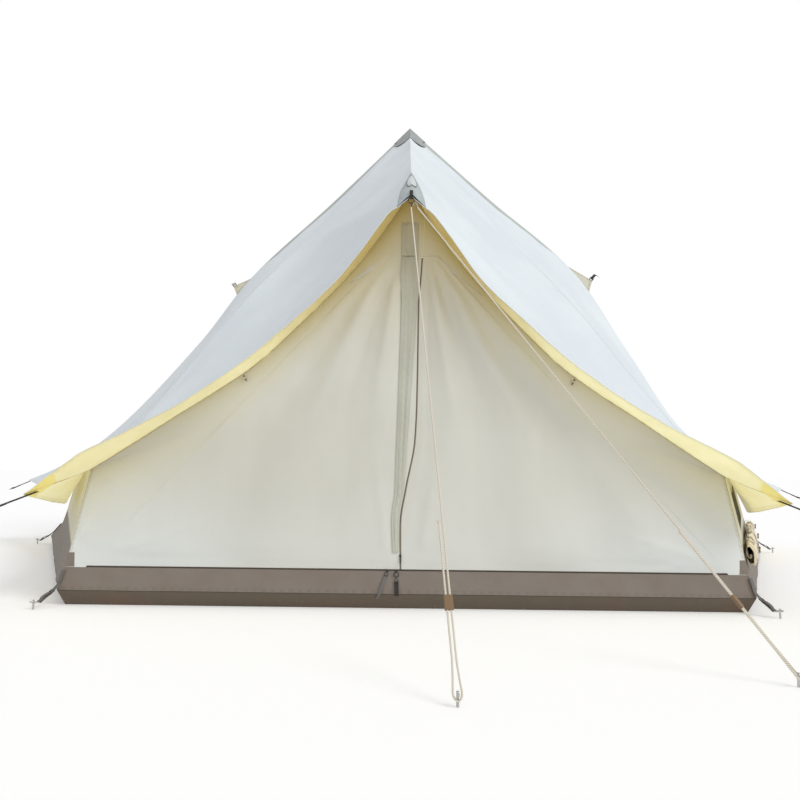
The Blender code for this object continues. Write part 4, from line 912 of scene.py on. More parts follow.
@dataclass
class Cloth:
    """One sheet of cloth, made of patches that share borders."""

    name: str
    patches: list[Patch]
    toward: Vector
    finish: Any
    inside: Any
    thickness: float = CLOTH_THICKNESS
    flat: tuple[float, float] | None = None

    def build(self) -> bpy.types.Object:
        """Make the mesh, with its thickness inwards.

        Returns:
            The finished object, with UV in metres and the finish's attributes.
        """
        verts: list[np.ndarray] = []
        faces: list[tuple[int, ...]] = []
        uvs: list[np.ndarray] = []
        marks: dict[str, list[np.ndarray]] = {"seam": [], "hem": []}
        names = sorted({key for patch in self.patches for key in patch.marks})
        for key in names:
            marks[key] = []
        for patch in self.patches:
            start = sum(len(block) for block in verts)
            points = patch.shaped(self.toward)
            away = patch.distances()
            rows, columns = points.shape[:2]
            index = start + np.arange(rows * columns).reshape(rows, columns)
            faces += self.quads(points, index)
            verts.append(points.reshape(-1, 3))
            width = away[2] + away[3]
            uvs.append(np.stack([away[2] - width / 2, away[0]], axis=-1).reshape(-1, 2))
            for key, kind in (("seam", SEWN), ("hem", FREE)):
                kept = [distance for distance, border in zip(away, patch.borders) if border is kind]
                near = np.minimum.reduce(kept) if kept else np.full(points.shape[:2], FAR)
                marks[key].append(near.reshape(-1))
            for key in names:
                marks[key].append(patch.marks.get(key, np.zeros(points.shape[:2])).reshape(-1))
        mesh = bpy.data.meshes.new(self.name)
        flat = np.concatenate(verts)
        mesh.from_pydata([tuple(point) for point in flat], [], faces)
        layer = mesh.uv_layers.new(name="UVMap")
        uv = np.concatenate(uvs)
        corners = np.empty(len(mesh.loops), dtype=np.int32)
        mesh.loops.foreach_get("vertex_index", corners)
        layer.data.foreach_set("uv", uv[corners].astype(np.float32).reshape(-1))
        for key, blocks in marks.items():
            kept = mesh.attributes.new(key, "FLOAT", "POINT")
            kept.data.foreach_set("value", np.concatenate(blocks).astype(np.float32))
        if len(self.patches) > 1:
            shape = bmesh.new()
            shape.from_mesh(mesh)
            bmesh.ops.remove_doubles(shape, verts=shape.verts, dist=WELD)
            shape.to_mesh(mesh)
            shape.free()
        return self.thicken(add(self.name, mesh))

    def thicken(self, piece: bpy.types.Object) -> bpy.types.Object:
        """Give a one-sided cloth its thickness inwards, its two finishes and its shading."""
        piece.data.materials.append(WARDROBE.get(self.finish))
        piece.data.materials.append(WARDROBE.get(self.inside))
        wall = piece.modifiers.new("thickness", "SOLIDIFY")
        wall.thickness = self.thickness
        wall.offset = -1.0
        wall.material_offset = 1
        apply_modifiers(piece)
        piece.data.shade_smooth()
        piece.data.set_sharp_from_angle(angle=SHARP_ANGLE)
        return piece

    def quads(self, points: np.ndarray, index: np.ndarray) -> list[tuple[int, ...]]:
        """Faces over a grid of points, wound so that they face the cloth's outer side."""
        across = np.gradient(points, axis=1)
        down = np.gradient(points, axis=0)
        outward = (np.cross(across, down) @ np.array(self.toward)).sum() > 0
        faces = []
        for i in range(points.shape[0] - 1):
            for j in range(points.shape[1] - 1):
                quad = (index[i, j], index[i, j + 1], index[i + 1, j + 1], index[i + 1, j])
                faces.append(quad if outward else quad[::-1])
        return faces

    def hang(self, node: str, held: str, rests: Sequence[str] = (), slot: str = "roof",
             body: Body = Body.TENT) -> bpy.types.Object:
        """Build the sheet, hide the CAD node that it stands for, attach it to what it moves with,
        and log its size.

        Args:
            node: CAD node that it stands for.
            held: Not used.
            rests: Not used.
            slot: Not used.
            body: What it moves with.

        Returns:
            The built object.
        """
        piece = self.build()
        area = sum(patch.area() for patch in self.patches)
        spans = [patch.distances() for patch in self.patches]
        width = max(float((span[2] + span[3]).max()) for span in spans)
        length = max(float((span[0] + span[1]).max()) for span in spans)
        if self.flat is not None:
            width, length = self.flat
        width, length = round(width, 5), round(length, 5)
        area = min(area, width * length)
        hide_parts(node)
        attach(piece, body.value)
        LOG.info("%s: cloth of %.2f x %.2f m, %.2f m2", self.name, width, length, area)
        return piece


def plain(name: str, rows: Sequence[Sequence[Vector]], held: str, toward: Vector, finish: Any,
          thickness: float, flat: tuple[float, float] | None = None) -> Cloth:
    """One patch of cloth with nothing added to its shape.

    Args:
        name: Name of the piece.
        rows: Points of its outer side.
        held: First letters of how its four borders are held.
        toward: Way that its outer side faces.
        finish: Its finish, inside as outside.
        thickness: Its thickness.
        flat: Its flat size, where the mesh doesn't give it.

    Returns:
        The cloth, not built yet.
    """
    kinds = {"s": SEWN, "j": JOINED, "f": FREE}
    borders = tuple(kinds[letter] for letter in held)
    patch = Patch(as_points(rows), borders, ripple=0.0)
    return Cloth(name, [patch], toward, finish, finish, thickness, flat)


def apply_modifiers(piece: bpy.types.Object) -> None:
    """Apply every modifier of a piece."""
    only(piece)
    for modifier in list(piece.modifiers):
        bpy.ops.object.modifier_apply(modifier=modifier.name)
    piece.select_set(False)


def add(name: str, data: bpy.types.ID) -> bpy.types.Object:
    """Put new data into the scene as an object."""
    made = bpy.data.objects.new(name, data)
    bpy.context.collection.objects.link(made)
    return made


def only(piece: bpy.types.Object) -> None:
    """Select one object alone and make it active."""
    for other in bpy.context.view_layer.objects:
        other.select_set(False)
    piece.select_set(True)
    bpy.context.view_layer.objects.active = piece


class Probe:
    """Looks up where pieces of cloth lie over, under or in front of a place."""

    apart = 0.0008

    def __init__(self, pieces: Sequence[bpy.types.Object]) -> None:
        """Gather the faces of all pieces."""
        points: list[Vector] = []
        faces: list[list[int]] = []
        for piece in pieces:
            start = len(points)
            points += [vertex.co.copy() for vertex in piece.data.vertices]
            faces += [[start + i for i in face.vertices] for face in piece.data.polygons]
        self.tree = BVHTree.FromPolygons(points, faces)

    def look(self, start: Vector, direction: Vector) -> list[Vector]:
        """Places met by four rays about one line."""
        side = direction.orthogonal().normalized() * self.apart
        other = direction.cross(side)
        found = []
        for one, two in ((-1, -1), (-1, 1), (1, -1), (1, 1)):
            hit = self.tree.ray_cast(start + side * one + other * two, direction)[0]
            if hit is not None:
                found.append(hit)
        return found

    def under(self, x: float, y: float) -> float:
        """Height of the inner side over a place, or infinity."""
        return min((hit.z for hit in self.look(Vector((x, y, 0.05)), UP)), default=math.inf)

    def over(self, x: float, y: float) -> float:
        """Height of the outer side at a place, or zero."""
        return max((hit.z for hit in self.look(Vector((x, y, PEAK + 1.0)), Vector((0, 0, -1)))),
                   default=0.0)

    def front(self, x: float, z: float, fallback: float) -> float:
        """Nearest surface met from the front, as its Y."""
        return min((hit.y for hit in self.look(Vector((x, -4.0, z)), Vector((0, 1, 0)))),
                   default=fallback)


# Panels of the tent


def sampled(values: Sequence[Any], level: float) -> Any:
    """Read a list of numbers or places as a straight-sided curve at a level."""
    i = min(int(level), len(values) - 2)
    return blend(values[i], values[i + 1], level - i)


def bowed(start: Vector, end: Vector, bow: Vector, shares: Sequence[float]) -> list[Vector]:
    """Points between two places, bowed by a vector at the middle."""
    return [blend(start, end, s) + bow * (4 * s * (1 - s)) for s in shares]


def spread(count: int, low: float = 0.0, high: float = 1.0) -> list[float]:
    """Evenly spaced numbers."""
    return [blend(low, high, i / count) for i in range(count + 1)]


def chart_of(points: np.ndarray, width: float = 1.0, length: float = 1.0) -> np.ndarray:
    """Chart of a patch by share of its width and length, in metres."""
    rows, columns = points.shape[:2]
    across, down = np.meshgrid(np.linspace(0, width, columns), np.linspace(0, length, rows))
    return np.stack([across, down], axis=-1)


def as_points(rows: Sequence[Sequence[Vector]]) -> np.ndarray:
    """Rows of vectors as one array."""
    return np.array([[tuple(point) for point in row] for row in rows])


@dataclass
class Roof:
    """The seven panels of the roof, with the awning over the door."""

    sag: float = 0.035
    hem_outward: float = 0.105
    hem_drop: float = 0.25
    columns: int = 64
    upper_rows: int = 84
    eave_rows: int = 20
    # Width and reach of the band of painted shade beside the side hips, for the side panels seen
    # edge-on.
    strip_width: float = 0.062
    strip_reach: float = 1.16
    pieces: list[bpy.types.Object] = field(default_factory=list)

    def gore(self, first: Seam, second: Seam, gore_shade_side: int = 0) -> Patch:
        """Panel between two hips, with a hollow-cut hem between the eave corners.

        Args:
            first: Hip along the panel's first column.
            second: Hip along its last column.
            gore_shade_side: 1 or 2 for the hip beside which the side panel shows as a band of
                painted shade, 0 for none.

        Returns:
            The panel's patch.
        """
        middle = (first.along + second.along).normalized()
        sides = side_of(first, middle), side_of(second, middle)
        outward = outward_of(first, second)
        tops = first.point(first.wall_radius), second.point(second.wall_radius)
        eaves = first.point(first.eave_radius), second.point(second.eave_radius)
        hem_middle = (tops[0] + tops[1]) / 2 + outward * self.hem_outward - UP * self.hem_drop
        levels = spread(self.upper_rows, 0.0, WALL_LEVEL)
        levels += spread(self.eave_rows, WALL_LEVEL, EAVE_LEVEL)[1:]
        rows = []
        for level in levels:
            ends = [seam.point(seam.radius_at(level), at)
                    for seam, at in zip((first, second), sides)]
            if level <= WALL_LEVEL:
                bow = -(outward + UP) * (self.sag * math.sin(math.pi * level / WALL_LEVEL))
            else:
                beyond = (level - WALL_LEVEL) / (EAVE_LEVEL - WALL_LEVEL)
                bow = (hem_middle - (eaves[0] + eaves[1]) / 2) * beyond
            rows.append(bowed(*ends, bow, spread(self.columns)))
        points = as_points(rows)
        patch = Patch(points, (SEWN, FREE, SEWN, SEWN), ripple=0.006, ripple_size=0.34)
        patch.chart = chart_of(points)
        patch.creases = self.gore_creases()
        patch.marks["corner"] = self.corners(points)
        # A band of painted shade beside the hip, for the side panel seen edge-on, narrowing and
        # ending towards the tab.
        if gore_shade_side:
            away = patch.distances()
            radius = np.linalg.norm(points[..., :2], axis=-1)
            near = away[1 + gore_shade_side]
            width = self.strip_width * (1 - smooth((radius - 0.95) / 0.21) * 0.9)
            edge = smooth((width - near) / 0.006)
            patch.marks["strip"] = edge * smooth((self.strip_reach - radius) / 0.03)
        return patch

    def corners(self, points: np.ndarray) -> np.ndarray:
        """One on the reinforced corners of the eaves."""
        near = np.full(points.shape[:2], FAR)
        for hip in HIPS.values():
            away = points - np.array(hip.point(hip.eave_radius))
            near = np.minimum(near, np.linalg.norm(away, axis=-1))
        return smooth((0.135 - near) / 0.004)

    def gore_creases(self) -> list[Crease]:
        """Soft pulls to the eave corners and down from the peak, by share of each size."""
        return [
            Crease((0.04, 0.93), (0.42, 0.55), 0.030, 0.010),
            Crease((0.07, 0.96), (0.60, 0.78), 0.022, -0.008),
            Crease((0.96, 0.93), (0.55, 0.58), 0.030, 0.009),
            Crease((0.93, 0.96), (0.40, 0.80), 0.022, -0.008),
            Crease((0.30, 0.05), (0.36, 0.60), 0.035, 0.007),
            Crease((0.66, 0.04), (0.72, 0.52), 0.035, -0.007),
            Crease((0.50, 0.10), (0.52, 0.70), 0.050, -0.008),
        ]

    def front(self, side: Side) -> list[Patch]:
        """Half of the front roof down to the wall's seam, and its awning."""
        hip = HIPS["front_right"]
        at = side_of(hip, FRONT)
        ridge_at = side_of(CENTRE_RIDGE, ACROSS)
        ridge_radii = [VENT_RADIUS, 0.55, 1.05, 1.56, 2.08, -DOOR_Y]
        corner = hip.point(hip.wall_radius, at)
        seam_xs = [0.0, 0.20, 0.42, 0.64, 0.86, SEAM_BEND, 1.24, corner.x]
        hem_xs = [0.0, 0.24, 0.48, 0.72, 0.95, 1.17, 1.40]
        eave = hip.point(hip.eave_radius, at)

        def border(level: float) -> Vector:
            """Inner edge of the upper patch: the ridge, and then the wall's seam."""
            if level <= 5:
                return CENTRE_RIDGE.point(sampled(ridge_radii, level), ridge_at)
            if level >= WALL_LEVEL:
                return corner
            return front_seam_point(sampled(seam_xs, level - 5))

        def hem(level: float) -> Vector:
            """Free edge of the awning, out to the eave's corner."""
            if level <= 6:
                x = sampled(hem_xs, level)
                return Vector((x, -AWNING_REACH, interpolate(AWNING_HEIGHTS, x)))
            start = Vector((1.40, -AWNING_REACH, interpolate(AWNING_HEIGHTS, 1.40)))
            return blend(start, eave, level - 6)

        shares = spread(self.columns)
        upper = []
        for level in spread(self.upper_rows, 0.0, WALL_LEVEL):
            start = hip.point(hip.radius_at(level), at)
            depth = self.sag * math.sin(math.pi * level / WALL_LEVEL) if level < WALL_LEVEL else 0.0
            bow = Vector((0, 0.5, -1)) * depth
            upper.append(bowed(start, border(level), bow, shares))
        lower = []
        for level in spread(self.upper_rows, 0.0, 7.0):
            sewn = border(5 + level)
            row = [blend(sewn, hem(level), share) for share in spread(14)]
            if level > 6:
                along_hip = [hip.point(blend(hip.wall_radius, hip.eave_radius, share), at)
                             for share in spread(14)]
                row = [blend(one, two, (level - 6) ** 2) for one, two in zip(row, along_hip)]
            lower.append(row)
        grids = [as_points(upper), as_points(lower)]
        if side is Side.LEFT:
            grids = [grid * np.array((-1.0, 1.0, 1.0)) for grid in grids]
        top = Patch(grids[0], (SEWN, JOINED, SEWN, JOINED), ripple=0.006, ripple_size=0.36)
        top.chart = top.points[..., (0, 2)]
        top.creases = self.front_creases(side)
        awning = Patch(grids[1], (SEWN, SEWN, SEWN, FREE), ripple=0.004, ripple_size=0.15)
        awning.fade = 0.035
        awning.chart = awning.points[..., (0, 2)]
        for patch in (top, awning):
            # Painted shade on the underside: some over the whole left half, more towards the peak.
            shaded = 0.22 if side is Side.LEFT else 0.0
            shade_towards_peak = smooth((patch.points[..., 2] - 1.02) / 0.55)
            patch.marks["apex"] = shaded + (1 - shaded) * shade_towards_peak
            patch.marks["corner"] = self.corners(patch.points)
        awning.creases = self.awning_creases(side)
        return [top, awning]

    def front_creases(self, side: Side) -> list[Crease]:
        """Folds of the front roof, in width and height."""
        if side is Side.RIGHT:
            return [
                Crease((0.10, 1.86), (0.95, 1.10), 0.030, 0.016),
                Crease((0.13, 1.95), (1.10, 1.15), 0.028, -0.014),
                Crease((0.20, 2.00), (1.30, 1.25), 0.040, 0.010),
                Crease((0.16, 2.35), (0.90, 1.55), 0.060, -0.010),
                Crease((1.25, 0.80), (0.70, 1.45), 0.040, 0.009),
            ]
        return [
            Crease((-0.07, 1.90), (-0.70, 1.27), 0.022, 0.022),
            Crease((-0.12, 1.86), (-0.80, 1.10), 0.020, -0.016),
            Crease((-0.18, 2.02), (-1.15, 1.05), 0.045, 0.012),
            Crease((-0.14, 2.45), (-0.80, 1.65), 0.060, -0.009),
            Crease((-1.30, 0.75), (-0.85, 1.35), 0.040, 0.009),
        ]

    def awning_creases(self, side: Side) -> list[Crease]:
        """Puckers of the awning beside the boot and along its hem."""
        sign = side.value
        made = []
        for k in range(9):
            x = 0.07 + 0.045 * k
            z = interpolate(SEAM_HEIGHTS, x)
            deep = 0.010 if side is Side.LEFT else 0.005
            made.append(Crease((sign * x, z - 0.02), (sign * (x + 0.07), z - 0.16), 0.012,
                               deep * (1 - k / 10), True))
        for k in range(5):
            x = 0.55 + 0.17 * k
            z = interpolate(SEAM_HEIGHTS, x)
            made.append(Crease((sign * x, z), (sign * (x + 0.05), z - 0.13), 0.016,
                               0.004 * (-1) ** k, True))
        return made

    def build(self) -> Probe:
        """Make all panels.

        Returns:
            A probe of their shapes.
        """
        # The third number picks the hip beside which a panel takes its band of painted shade.
        gores = {
            "roof_side_left_front": ("left", "front_left", 1),
            "roof_side_right_front": ("front_right", "right", 2),
            "roof_side_left_rear": ("rear_left", "left", 0),
            "roof_side_right_rear": ("right", "rear_right", 0),
            "roof_rear": ("rear_right", "rear_left", 0),
        }
        for name, (one, two, strip) in gores.items():
            patches = [self.gore(HIPS[one], HIPS[two], strip)]
            self.hang(name, patches, HIPS[one].along + HIPS[two].along + UP)
        for side in Side:
            self.hang(f"roof_front_{side.word}", self.front(side),
                      Vector((side.value * 0.3, -1, 0.8)))
        return Probe(self.pieces)

    def hang(self, node: str, patches: list[Patch], toward: Vector) -> None:
        cloth = Cloth("cloth_" + node, patches, toward, ROOF, ROOF_UNDER)
        self.pieces.append(cloth.hang(node, "stretched", ["centre_pole_upper"]))


ORDER = ["front_left", "front_right", "right", "rear_right", "rear_left", "left"]
MUD_NODES = ["mud_wall_front", "mud_wall_front_right", "mud_wall_rear_right", "mud_wall_rear",
             "mud_wall_rear_left", "mud_wall_front_left"]
WALL_NODES = ["", "side_wall_front_right", "side_wall_rear_right", "rear_wall",
              "side_wall_rear_left", "side_wall_front_left"]


@dataclass
class LowWalls:
    """The mud walls round the foot, the side and rear walls over them, and the groundsheet."""

    roof: Probe
    columns: int = 96
    rows: int = 26
    window_along: tuple[float, float] = WINDOW_ALONG
    window_heights: tuple[float, float] = WINDOW_HEIGHTS

    def ends(self, i: int) -> tuple[Seam, Seam, Vector, tuple[int, int]]:
        """Corner seams of a wall, its outward direction and the seams' sides."""
        first, second = HIPS[ORDER[i]], HIPS[ORDER[(i + 1) % 6]]
        middle = (first.along + second.along).normalized()
        outward = outward_of(first, second)
        return first, second, outward, (side_of(first, middle), side_of(second, middle))

    def mud(self, i: int) -> None:
        """Make one mud wall."""
        first, second, outward, sides = self.ends(i)
        rows = []
        top = SIDE_MUD_TOP if i else MUD_WALL_TOP
        heights = sorted(set(spread(26, 0.0, top)) | {BAND_SEAM_HEIGHT, BAND_SEAM_HEIGHT - 0.002})
        for height in heights:
            ends = first.wall_point(height, sides[0]), second.wall_point(height, sides[1])
            rows.append(bowed(*ends, Vector(), spread(self.columns)))
        points = as_points(rows)
        patch = Patch(points, (SEWN,) * 4, ripple=0.0035, ripple_size=0.13, fade=0.02)
        patch.chart = chart_of(points, (second.wall_point(0.1) - first.wall_point(0.1)).length,
                               MUD_WALL_TOP)
        patch.creases = self.mud_creases(float(patch.chart[0, -1, 0]))
        cloth = Cloth("cloth_" + MUD_NODES[i], [patch], outward, MUD, FLOOR_CLOTH)
        cloth.hang(MUD_NODES[i], "hung", ["groundsheet"], "mud")

    def mud_creases(self, width: float) -> list[Crease]:
        """Short creases along a mud wall's top and pulls at its corners, in metres."""
        creases = []
        for k in range(9):
            x = width * (0.06 + 0.105 * k)
            lean = 0.10 * (-1) ** k
            creases.append(Crease((x, 0.148 - 0.01 * (k % 3)), (x + lean, 0.07), 0.009,
                                  0.0030 * (-1) ** k))
        for x, lean in ((0.03, 0.16), (width - 0.03, -0.16)):
            creases.append(Crease((x, 0.02), (x + lean, 0.11), 0.010, 0.0045))
            creases.append(Crease((x, 0.15), (x + lean, 0.09), 0.008, -0.0035))
        return creases

    def wall(self, i: int) -> None:
        """Make one wall up to the roof; the right front one is cut for its window."""
        first, second, outward, sides = self.ends(i)
        rows = []
        for share in spread(self.rows):
            height = blend(SIDE_MUD_TOP + GAP, WALL_TOP - WALL_CLEARANCE, share)
            ends = first.wall_point(height, sides[0]), second.wall_point(height, sides[1])
            rows.append(bowed(*ends, Vector(), spread(self.columns)))
        tops = [self.roof.under(point.x, point.y) for point in rows[-1]]
        tops = [min(top, 0.70) - 0.0004 if math.isfinite(top) else WALL_TOP - 0.01 for top in tops]
        for k, row in enumerate(rows):
            share = k / self.rows
            for point, top in zip(row, tops):
                point.z = blend(SIDE_MUD_TOP + GAP, top, share)
        points = as_points(rows)
        node = WALL_NODES[i]
        borders = (SEWN,) * 4
        if node == "side_wall_front_right":
            patches = self.window_frame(points)
        else:
            patches = [Patch(points, borders, ripple=0.006, ripple_size=0.24, fade=0.06)]
            patches[0].chart = chart_of(points, 2.3, 0.45)
            patches[0].creases = [
                Crease((0.05, 0.42), (0.55, 0.14), 0.020, 0.007),
                Crease((0.04, 0.03), (0.50, 0.26), 0.018, -0.006),
                Crease((2.25, 0.42), (1.75, 0.16), 0.020, 0.007),
                Crease((2.26, 0.03), (1.80, 0.24), 0.018, -0.006),
                Crease((1.10, 0.42), (1.22, 0.05), 0.030, 0.005)]
        whole = Patch(points, borders).distances()
        flat = float((whole[2] + whole[3]).max()), float((whole[0] + whole[1]).max())
        cloth = Cloth("cloth_" + node, patches, outward, SIDE_CANVAS, WALL_UNDER, flat=flat)
        cloth.hang(node, "hung", ["cloth_roof_rear"], "wall")

    def window_frame(self, points: np.ndarray) -> list[Patch]:
        """Cut the window's opening out of a wall, as four patches round it."""
        rows, columns = points.shape[:2]
        tall = WALL_TOP - WALL_CLEARANCE - SIDE_MUD_TOP
        low, high = (round((value - SIDE_MUD_TOP) / tall * (rows - 1))
                     for value in self.window_heights)
        near, far = (round(value * (columns - 1)) for value in self.window_along)
        parts = [
            (points[:, :near + 1], (SEWN, SEWN, SEWN, JOINED)),
            (points[:, far:], (SEWN, SEWN, JOINED, SEWN)),
            (points[:low + 1, near:far + 1], (SEWN, FREE, JOINED, JOINED)),
            (points[high:, near:far + 1], (FREE, SEWN, JOINED, JOINED)),
        ]
        return [Patch(part, borders, ripple=0.002, ripple_size=0.2, fade=0.04)
                for part, borders in parts]

    def floor(self) -> None:
        """Make the groundsheet, with its slight rumples."""
        corners = [HIPS[name].wall_point(0.0) * 0.9965 for name in ORDER]
        shares = spread(72)
        left = [corners[0], corners[5], corners[4]]
        right = [corners[1], corners[2], corners[3]]
        rows = []
        for level in spread(96, 0.0, 2.0):
            one, two = sampled(left, level), sampled(right, level)
            rows.append([blend(one, two, share) + Vector((0, 0, 0.004)) for share in shares])
        patch = Patch(as_points(rows), (SEWN,) * 4, ripple=0.0)
        away = np.minimum.reduce(patch.distances())
        lift = np.array([[abs(noise.noise(Vector(point) * 2.1)) for point in row]
                         for row in patch.points])
        patch.points[..., 2] += 0.004 * lift * smooth(away / 0.12)
        cloth = Cloth("cloth_groundsheet", [patch], UP, FLOOR_CLOTH, FLOOR_CLOTH, 0.0018)
        cloth.hang("groundsheet", "laid", [], "floor")

    def build(self) -> None:
        """Make all low walls and the floor."""
        for i in range(6):
            self.mud(i)
            if WALL_NODES[i]:
                self.wall(i)
        self.floor()


@dataclass
class FrontWall:
    """The front wall: its sewn-in sides, two door leaves, the flap over the zip, and the zips."""

    roof: Probe
    leaf_top: float = 1.56
    meeting: float = 1.70
    flap_foot: float = 0.24
    flap_top: float = 1.715
    leaf_foot: float = 0.0078
    zip_gap: float = 0.0042
    slider_low: float = 0.225
    slider_high: float = 1.335
    fold_depth: float = 0.012
    fold_count: int = 5
    flat_share: float = 0.05

    def apex(self, points: np.ndarray) -> np.ndarray:
        """How much painted shade, warmed by light through the awning, the cloth takes: most at the
        top and close under the awning.
        """
        x, z = np.abs(points[..., 0]), points[..., 2]
        seam = np.vectorize(lambda value: interpolate(SEAM_HEIGHTS, float(value)))(x)
        under = seam - z
        top = smooth((z - 0.95) / 0.95) * 0.62
        close = np.exp(-np.maximum(under, 0.0) / 0.075) * (0.30 + 0.35 * smooth((z - 0.4) / 1.0))
        return np.clip(top + close, 0.0, 0.95)

    def pale(self, points: np.ndarray) -> np.ndarray:
        """How much painted light, paler and bluer, the cloth takes: most near the ground at its
        outer corners.
        """
        x, z = np.abs(points[..., 0]), points[..., 2]
        return smooth((0.62 - z) / 0.45) * (0.25 + 0.5 * smooth((x - 0.3) / 1.1))

    def marks(self, points: np.ndarray) -> dict[str, np.ndarray]:
        """Both marks of the wall's canvas: its painted shade and its painted light."""
        return {"apex": self.apex(points), "pale": self.pale(points)}

    def fold(self, share: float, height: float) -> float:
        """How far a door bulges outwards, in folds that fan down from its top."""
        edge = max(min(1.0, 6 * share, 6 * (1 - self.flat_share - share)), 0.0)
        low = min(1.0, (height - MUD_WALL_TOP) / 0.10, (self.leaf_top - height) / 0.15)
        wave = 0.5 - 0.5 * math.cos(math.tau * self.fold_count * share * 0.5 + 3.0 * height)
        return self.fold_depth * wave * edge * max(low, 0.0)

    def leaf(self, side: Side) -> bpy.types.Object:
        """Make one door leaf."""
        sign = side.value
        rows = []
        low, high = MUD_WALL_TOP + self.leaf_foot, self.leaf_top - 0.0002
        for height in spread(110, low, high):
            start = sign * (hinge_x(height) - 0.0001)
            end = zip_x(height) + sign * self.zip_gap
            rows.append([Vector((blend(start, end, s), DOOR_Y - self.fold(s, height), height))
                         for s in spread(72)])
        points = as_points(rows)
        patch = Patch(points, (JOINED,) * 4, ripple=0.0, fade=0.05)
        patch.chart = points[..., (0, 2)]
        patch.creases = self.leaf_creases(side)
        patch.marks = self.marks(points)
        held = np.minimum(smooth(patch.distances()[0] / 0.05), smooth(patch.distances()[3] / 0.03))
        for (i, j), amount in np.ndenumerate(held):
            at = Vector(points[i, j])
            wave = noise.noise(Vector((at.x * 5.5, 0.0, at.z * 1.6)) + Vector((sign, 2, 0)))
            fine = noise.noise(Vector((at.x * 17.0, 1.0, at.z * 6.0)))
            points[i, j, 1] -= amount * (0.0045 * wave + 0.0014 * fine + 0.003)
        node = f"door_{side.word}"
        cloth = Cloth("cloth_" + node, [patch], FRONT, WALL, WALL_UNDER)
        return cloth.hang(node, "hung", [f"cloth_front_wall_{side.word}"], "wall", Body(node))

    def leaf_creases(self, side: Side) -> list[Crease]:
        """Soft folds of a leaf, in width and height."""
        if side is Side.LEFT:
            return [
                Crease((-0.06, 1.50), (-0.16, 0.85), 0.022, 0.012),
                Crease((-0.11, 1.50), (-0.30, 0.80), 0.026, -0.012),
                Crease((-0.16, 1.42), (-0.50, 0.70), 0.030, 0.011),
                Crease((-0.03, 1.45), (-0.05, 0.75), 0.018, -0.008),
                Crease((-0.24, 1.36), (-0.72, 0.62), 0.034, -0.008),
                Crease((-1.30, 0.22), (-0.85, 0.38), 0.016, 0.006),
                Crease((-1.25, 0.20), (-0.70, 0.21), 0.014, -0.005),
                Crease((-0.09, 0.22), (-0.16, 0.75), 0.022, 0.007)]
        return [
            Crease((0.10, 1.48), (0.20, 0.80), 0.022, 0.011),
            Crease((0.14, 1.44), (0.36, 0.78), 0.028, -0.011),
            Crease((0.19, 1.38), (0.58, 0.66), 0.032, 0.011),
            Crease((0.07, 1.40), (0.08, 0.60), 0.016, -0.008),
            Crease((0.28, 1.30), (0.80, 0.60), 0.034, -0.007),
            Crease((1.30, 0.22), (0.85, 0.36), 0.016, 0.006),
            Crease((1.20, 0.20), (0.60, 0.20), 0.014, -0.005),
            Crease((0.06, 0.24), (0.14, 0.70), 0.022, 0.007),
            Crease((0.60, 0.95), (0.45, 0.40), 0.040, 0.006)]

    def fixed(self, side: Side) -> bpy.types.Object:
        """Make the sewn-in part of the wall on one side, from the hinge line to the roof."""
        sign = side.value
        corner = HIPS["front_right" if sign > 0 else "front_left"]
        at = side_of(corner, FRONT)
        middle = sign * zip_x(self.meeting) + GAP / 2
        inner = [(hinge_x(z) + 0.0001, z) for z in spread(60, MUD_WALL_TOP + GAP, self.leaf_top)]
        inner += [(blend(inner[-1][0], sign * zip_x(self.leaf_top) + GAP / 2, s), self.leaf_top)
                  for s in spread(8)[1:]]
        inner += [(blend(inner[-1][0], middle, s), blend(self.leaf_top, self.meeting, s))
                  for s in spread(8)[1:]]
        outer = [corner.wall_point(z, at) for z in spread(28, MUD_WALL_TOP + GAP, WALL_TOP - 0.012)]
        for x in spread(47, 1.375, middle):
            place = front_seam_point(abs(x))
            outer.append(Vector((sign * x, place.y, place.z)))
        for point in outer[28:]:
            top = min(self.roof.under(point.x, point.y), self.roof.under(point.x, point.y + 0.002))
            point.z = (top if math.isfinite(top) and top > 0.4 else point.z - 0.006) - 0.0004
        rows = []
        for k in range(len(inner)):
            x, z = inner[k]
            start = Vector((sign * x, DOOR_Y, z))
            row = [blend(start, outer[k], s) for s in spread(22)]
            rows.append(row)
        points = as_points(rows)
        patch = Patch(points, (JOINED, JOINED, JOINED, SEWN), ripple=0.002, ripple_size=0.2)
        patch.fade = 0.035
        patch.chart = points[..., (0, 2)]
        patch.creases = [
            Crease((sign * 1.47, 0.30), (sign * 1.33, 0.335), 0.010, 0.005),
            Crease((sign * 1.47, 0.28), (sign * 1.24, 0.19), 0.010, -0.005),
            Crease((sign * 1.46, 0.30), (sign * 1.37, 0.42), 0.010, 0.005),
            Crease((sign * 1.39, 0.54), (sign * 1.22, 0.50), 0.012, 0.006),
            Crease((sign * 1.39, 0.55), (sign * 1.28, 0.42), 0.010, -0.006)]
        patch.marks = self.marks(points)
        node = f"front_wall_{side.word}"
        slope = math.atan2(HINGE_RISE, HINGE_FOOT - HINGE_TOP)
        lengthwise = patch.chart @ np.array((-sign * math.cos(slope), math.sin(slope)))
        crosswise = patch.chart @ np.array((sign * math.sin(slope), math.cos(slope)))
        flat = float(np.ptp(crosswise)), float(np.ptp(lengthwise))
        cloth = Cloth("cloth_" + node, [patch], FRONT, WALL, WALL_UNDER, flat=flat)
        return cloth.hang(node, "hung", [f"cloth_roof_front_{side.word}"], "wall")

